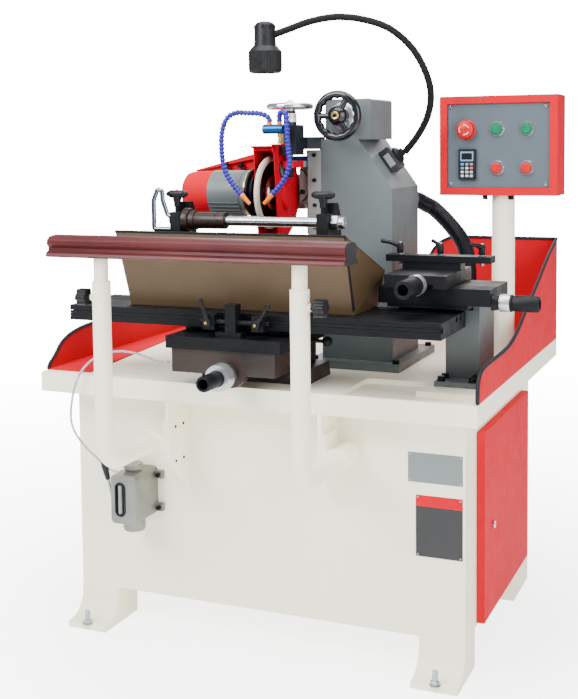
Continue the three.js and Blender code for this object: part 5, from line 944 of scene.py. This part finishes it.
wingKnob = {"y": 76, "z": 1139.9, "across": (-24, -21, -15, -8, 0, 8, 15, 21, 24),
            "radii": (6.6, 8.8, 10.2, 9.6, 11.6, 9.6, 10.2, 8.8, 6.6),
            "neck": [(6.5, 1108), (8.4, 1110), (8.4, 1118), (10.5, 1126), (11, 1136), (6, 1140)]}
for side, x in (("left", -208), ("right", 184)):
    centre = (x, wingKnob["y"], 0)
    wing = rounded([(x + across, wingKnob["y"], wingKnob["z"]) for across in wingKnob["across"]],
                   wingKnob["radii"], 28)
    stand("arbor_clamp_" + side, side + "WingKnob", joined(wing, lathe("z", wingKnob["neck"], centre, 40)),
        blackMoulding)
    stand("arbor_clamp_" + side, side + "ClampStud", lathe("z", [(6, 1090.5), (6, 1110)], centre, 32), blackSteel)

plateClamps = {"first": 306, "step": 104, "y": 290, "z": 984.3, "ways": (180, 130, 250),
               "reach": [(0, 0, 19), (9, 0, 24), (22, 0, 27.5), (36, 0, 30), (46, 0, 31.4)],
               "thick": ((0, 0.25, 0.6, 0.85, 1), (8.2, 6.8, 4.8, 4.8, 5.2)),
               "hub": [(7.2, 3), (8.6, 6), (8.6, 20), (7.6, 26), (5.4, 28.4)],
               "washer": [(8.8, 0), (8.8, 2), (6.2, 3.4)]}
for number, way in enumerate(plateClamps["ways"]):
    x, y, z = centre = (plateClamps["first"] + number * plateClamps["step"], plateClamps["y"], plateClamps["z"])
    reachLine = throughPoints(np.array(centre) + plateClamps["reach"], 6)
    thick = np.interp(np.linspace(0, 1, len(reachLine)), *plateClamps["thick"])
    grip = turnedBy(rounded(reachLine, thick), "z", way, centre)
    node = f"plate_clamp_lever_{number + 1}"
    stand(node, f"plateClampGrip{number + 1}", joined(grip, lathe("z", plateClamps["hub"], centre, 40)),
        blackMoulding)
    stand(node, f"plateClampStud{number + 1}", joined(
        lathe("z", [(5, 960.4 - z), (5, 1)], centre, 28), lathe("z", plateClamps["washer"], centre, 36),
        socketHead("z", (x, y, 0), z + 26, z + 31, 4.6)), groundSteel, 0.0)

bail = {"y": 53, "radius": 6.0, "points": [(-214, 1085), (-223.9, 1090), (-236.2, 1125), (-238, 1148.2),
                                           (-250.3, 1152), (-262, 1125), (-262, 1053), (-214, 1053)]}
bailLine = corners([(x, bail["y"], z) for x, z in bail["points"]], bail["radius"])
detail("arbor_bracket_left", "bentBail", tube(bailLine, bail["radius"], 20), bailPaintedReflection)

# template pedestal: straight column on a bolted foot, black saddle above
foot = {"plan": (426, 532, 172, 400), "low": 680.3, "top": 692.3,
        "bolts": [(440, 188), (440, 224), (517, 188), (517, 224)]}
footTop = foot["top"]
stand("template_pedestal", "pedestalColumn", block(436, 521, 240, 390, footTop - 1, 868.4), slateEnamel, 1.6)
stand("template_pedestal", "pedestalFoot", block(*foot["plan"], foot["low"], footTop), slateEnamel, 1.2)
stand("template_pedestal", "pedestalSaddle", joined(
    block(312, 510, 166, 340, 868.2, 878), block(312, 510, 210, 290, 877, 888),
    bar("x", [(242, 850), (334, 850), (340, 868.6), (236.5, 868.6)], 318, 506)), blackSteel, 0.6)
stand("template_pedestal", "pedestalBolts", joined(*[joined(
    hexHead("z", (x, y, 0), footTop + 1.6, footTop + 11, 19),
    lathe("z", [(11.5, -0.2), (11.5, 1.8), (8, 2)], (x, y, footTop), 32)) for x, y in foot["bolts"]]),
    blackSteel, 0.3)
print("stage: levers, knobs, pedestal")

# the solids that no piece above stands for: a finish and an edge radius in mm for each
plainDress = {
    (creamCoat, 1.6): ["table_slab"], (creamCoat, 1.0): ["cabinet"], (creamCoat, 0.6): ["control_post"],
    (creamCoat, 0.5): ["rest_tube_left", "rest_tube_right", "rest_post_left", "rest_post_right"],
    (redCoat, 1.2): ["cabinet_door"], (redCoat, 1.4): ["control_box", "head_cover"], (redCoat, 0.8): ["wheel_guard"],
    (chrome, 0.4): ["door_lock"], (plateGrey, 0.3): ["control_plate"], (greyEnamel, 2.0): ["head_column"],
    # the head slide takes the lighter grey so that it reads as bright as the column in the shade it sits in: painted
    # light
    (paleEnamel, 1.0): ["coarse_slide"], (paleEnamel, 1.2): ["head_slide"], (navyEnamel, 1.2): ["fine_feed_housing"],
    (brownIron, 1.4): ["cross_slide_base"], (tanEnamel, 0.5): ["drip_tray"], (greyDie, 1.0): ["oil_pump_body"],
    (blackSteel, 1.0): ["cross_slide", "arbor_bracket_left", "arbor_bracket_right"],
    (beechRail, 0.8): ["hand_rest_rail"],
    (blackWay, 0.8): ["long_table", "template_lower_slide", "template_upper_slide", "template_plate"],
    (blackMoulding, 0.8): ["rest_clamp_knob_left", "rest_clamp_knob_right"], (groundSteel, 0.3): ["wheel_spindle"],
    (redButton, 0.6): ["emergency_stop_button"], (redButton, 0.5): ["wheel_stop_button", "coolant_stop_button"],
    (greenButton, 0.5): ["wheel_start_button", "coolant_start_button"],
}
for (material, edge), dressed in plainDress.items():
    for node in dressed:
        dressNode(node, material, edge)
print("stage: solids dressed", sum(len(dressed) for dressed in plainDress.values()))

# floor and light
studio = {"floor": 14.0, "floorGlow": 0.4, "glowFrom": 0.6, "glowTo": 4.2, "glowNear": 3.0, "backdrop": 16.0,
          "sky": 0.52}
floorMesh = bpy.data.meshes.new("studioFloor")
floorMesh.from_pydata([(x * studio["floor"], y * studio["floor"], 0)
                       for x, y in ((-1, -1), (1, -1), (1, 1), (-1, 1))], [], [(0, 1, 2, 3)])
floor = bpy.data.objects.new("studioFloor", floorMesh)
bpy.context.scene.collection.objects.link(floor)
floorPaint, tree, surface, place = start("paleStudioFloor", Roughness=0.75)
surface.inputs["Base Color"].default_value = linear("#fbfbfb")
surface.inputs["Emission Color"].default_value = linear("#ffffff")
surface.inputs["Emission Strength"].default_value = studio["floorGlow"]
# the floor brightens into the backdrop with distance from its middle
distance = add(tree, "VectorMath", {"operation": "LENGTH"}, {0: place}).outputs["Value"]
strength = add(tree, "MapRange", {1: studio["glowFrom"], 2: studio["glowTo"], 3: studio["glowNear"],
                                  4: studio["backdrop"]}, {0: distance}).outputs[0]
glow = add(tree, "Emission", {"Color": linear("#ffffff")}, {"Strength": strength})
both = add(tree, "AddShader", None, {0: surface.outputs[0], 1: glow.outputs[0]})
seen = add(tree, "LightPath").outputs["Is Camera Ray"]
chosen = add(tree, "MixShader", None, {0: seen, 1: surface.outputs[0], 2: both.outputs[0]})
tree.links.new(chosen.outputs[0], tree.nodes["Material Output"].inputs["Surface"])
floorMesh.materials.append(floorPaint)

world = bpy.data.worlds.new("softStudio")
world.use_nodes = True
tree = world.node_tree
sky = tree.nodes["Background"]
sky.inputs["Color"].default_value = linear("#fbfcff")
sky.inputs["Strength"].default_value = studio["sky"]
backdrop = add(tree, "Background", {"Color": linear("#ffffff"), "Strength": studio["backdrop"]})
seen = add(tree, "LightPath").outputs["Is Camera Ray"]
shown = add(tree, "MixShader", None, {0: seen, 1: sky.outputs[0], 2: backdrop.outputs[0]})
tree.links.new(shown.outputs[0], tree.nodes["World Output"].inputs["Surface"])
bpy.context.scene.world = world

softLights = {   # square lights: place and aim in mm, size in m, power in W
    "keyLight": ((-1500, -2600, 3200), (0, 300, 800), 2.2, 245),
    "topLight": ((200, 0, 3700), (0, 300, 700), 2.8, 175),
    "fillLight": ((3000, -1600, 1800), (200, 300, 700), 2.4, 110),
    "backLight": ((-600, 3200, 2800), (0, 400, 900), 2.4, 90),
}
for name, (place, aim, size, power) in softLights.items():
    light = bpy.data.lights.new(name, "AREA")
    light.size, light.energy = size, power
    holder = bpy.data.objects.new(name, light)
    bpy.context.scene.collection.objects.link(holder)
    place, aim = Vector(inMetres(place)), Vector(inMetres(aim))
    holder.matrix_world = Matrix.Translation(place) @ (aim - place).to_track_quat("-Z", "Y").to_matrix().to_4x4()
print("stage: floor and light")
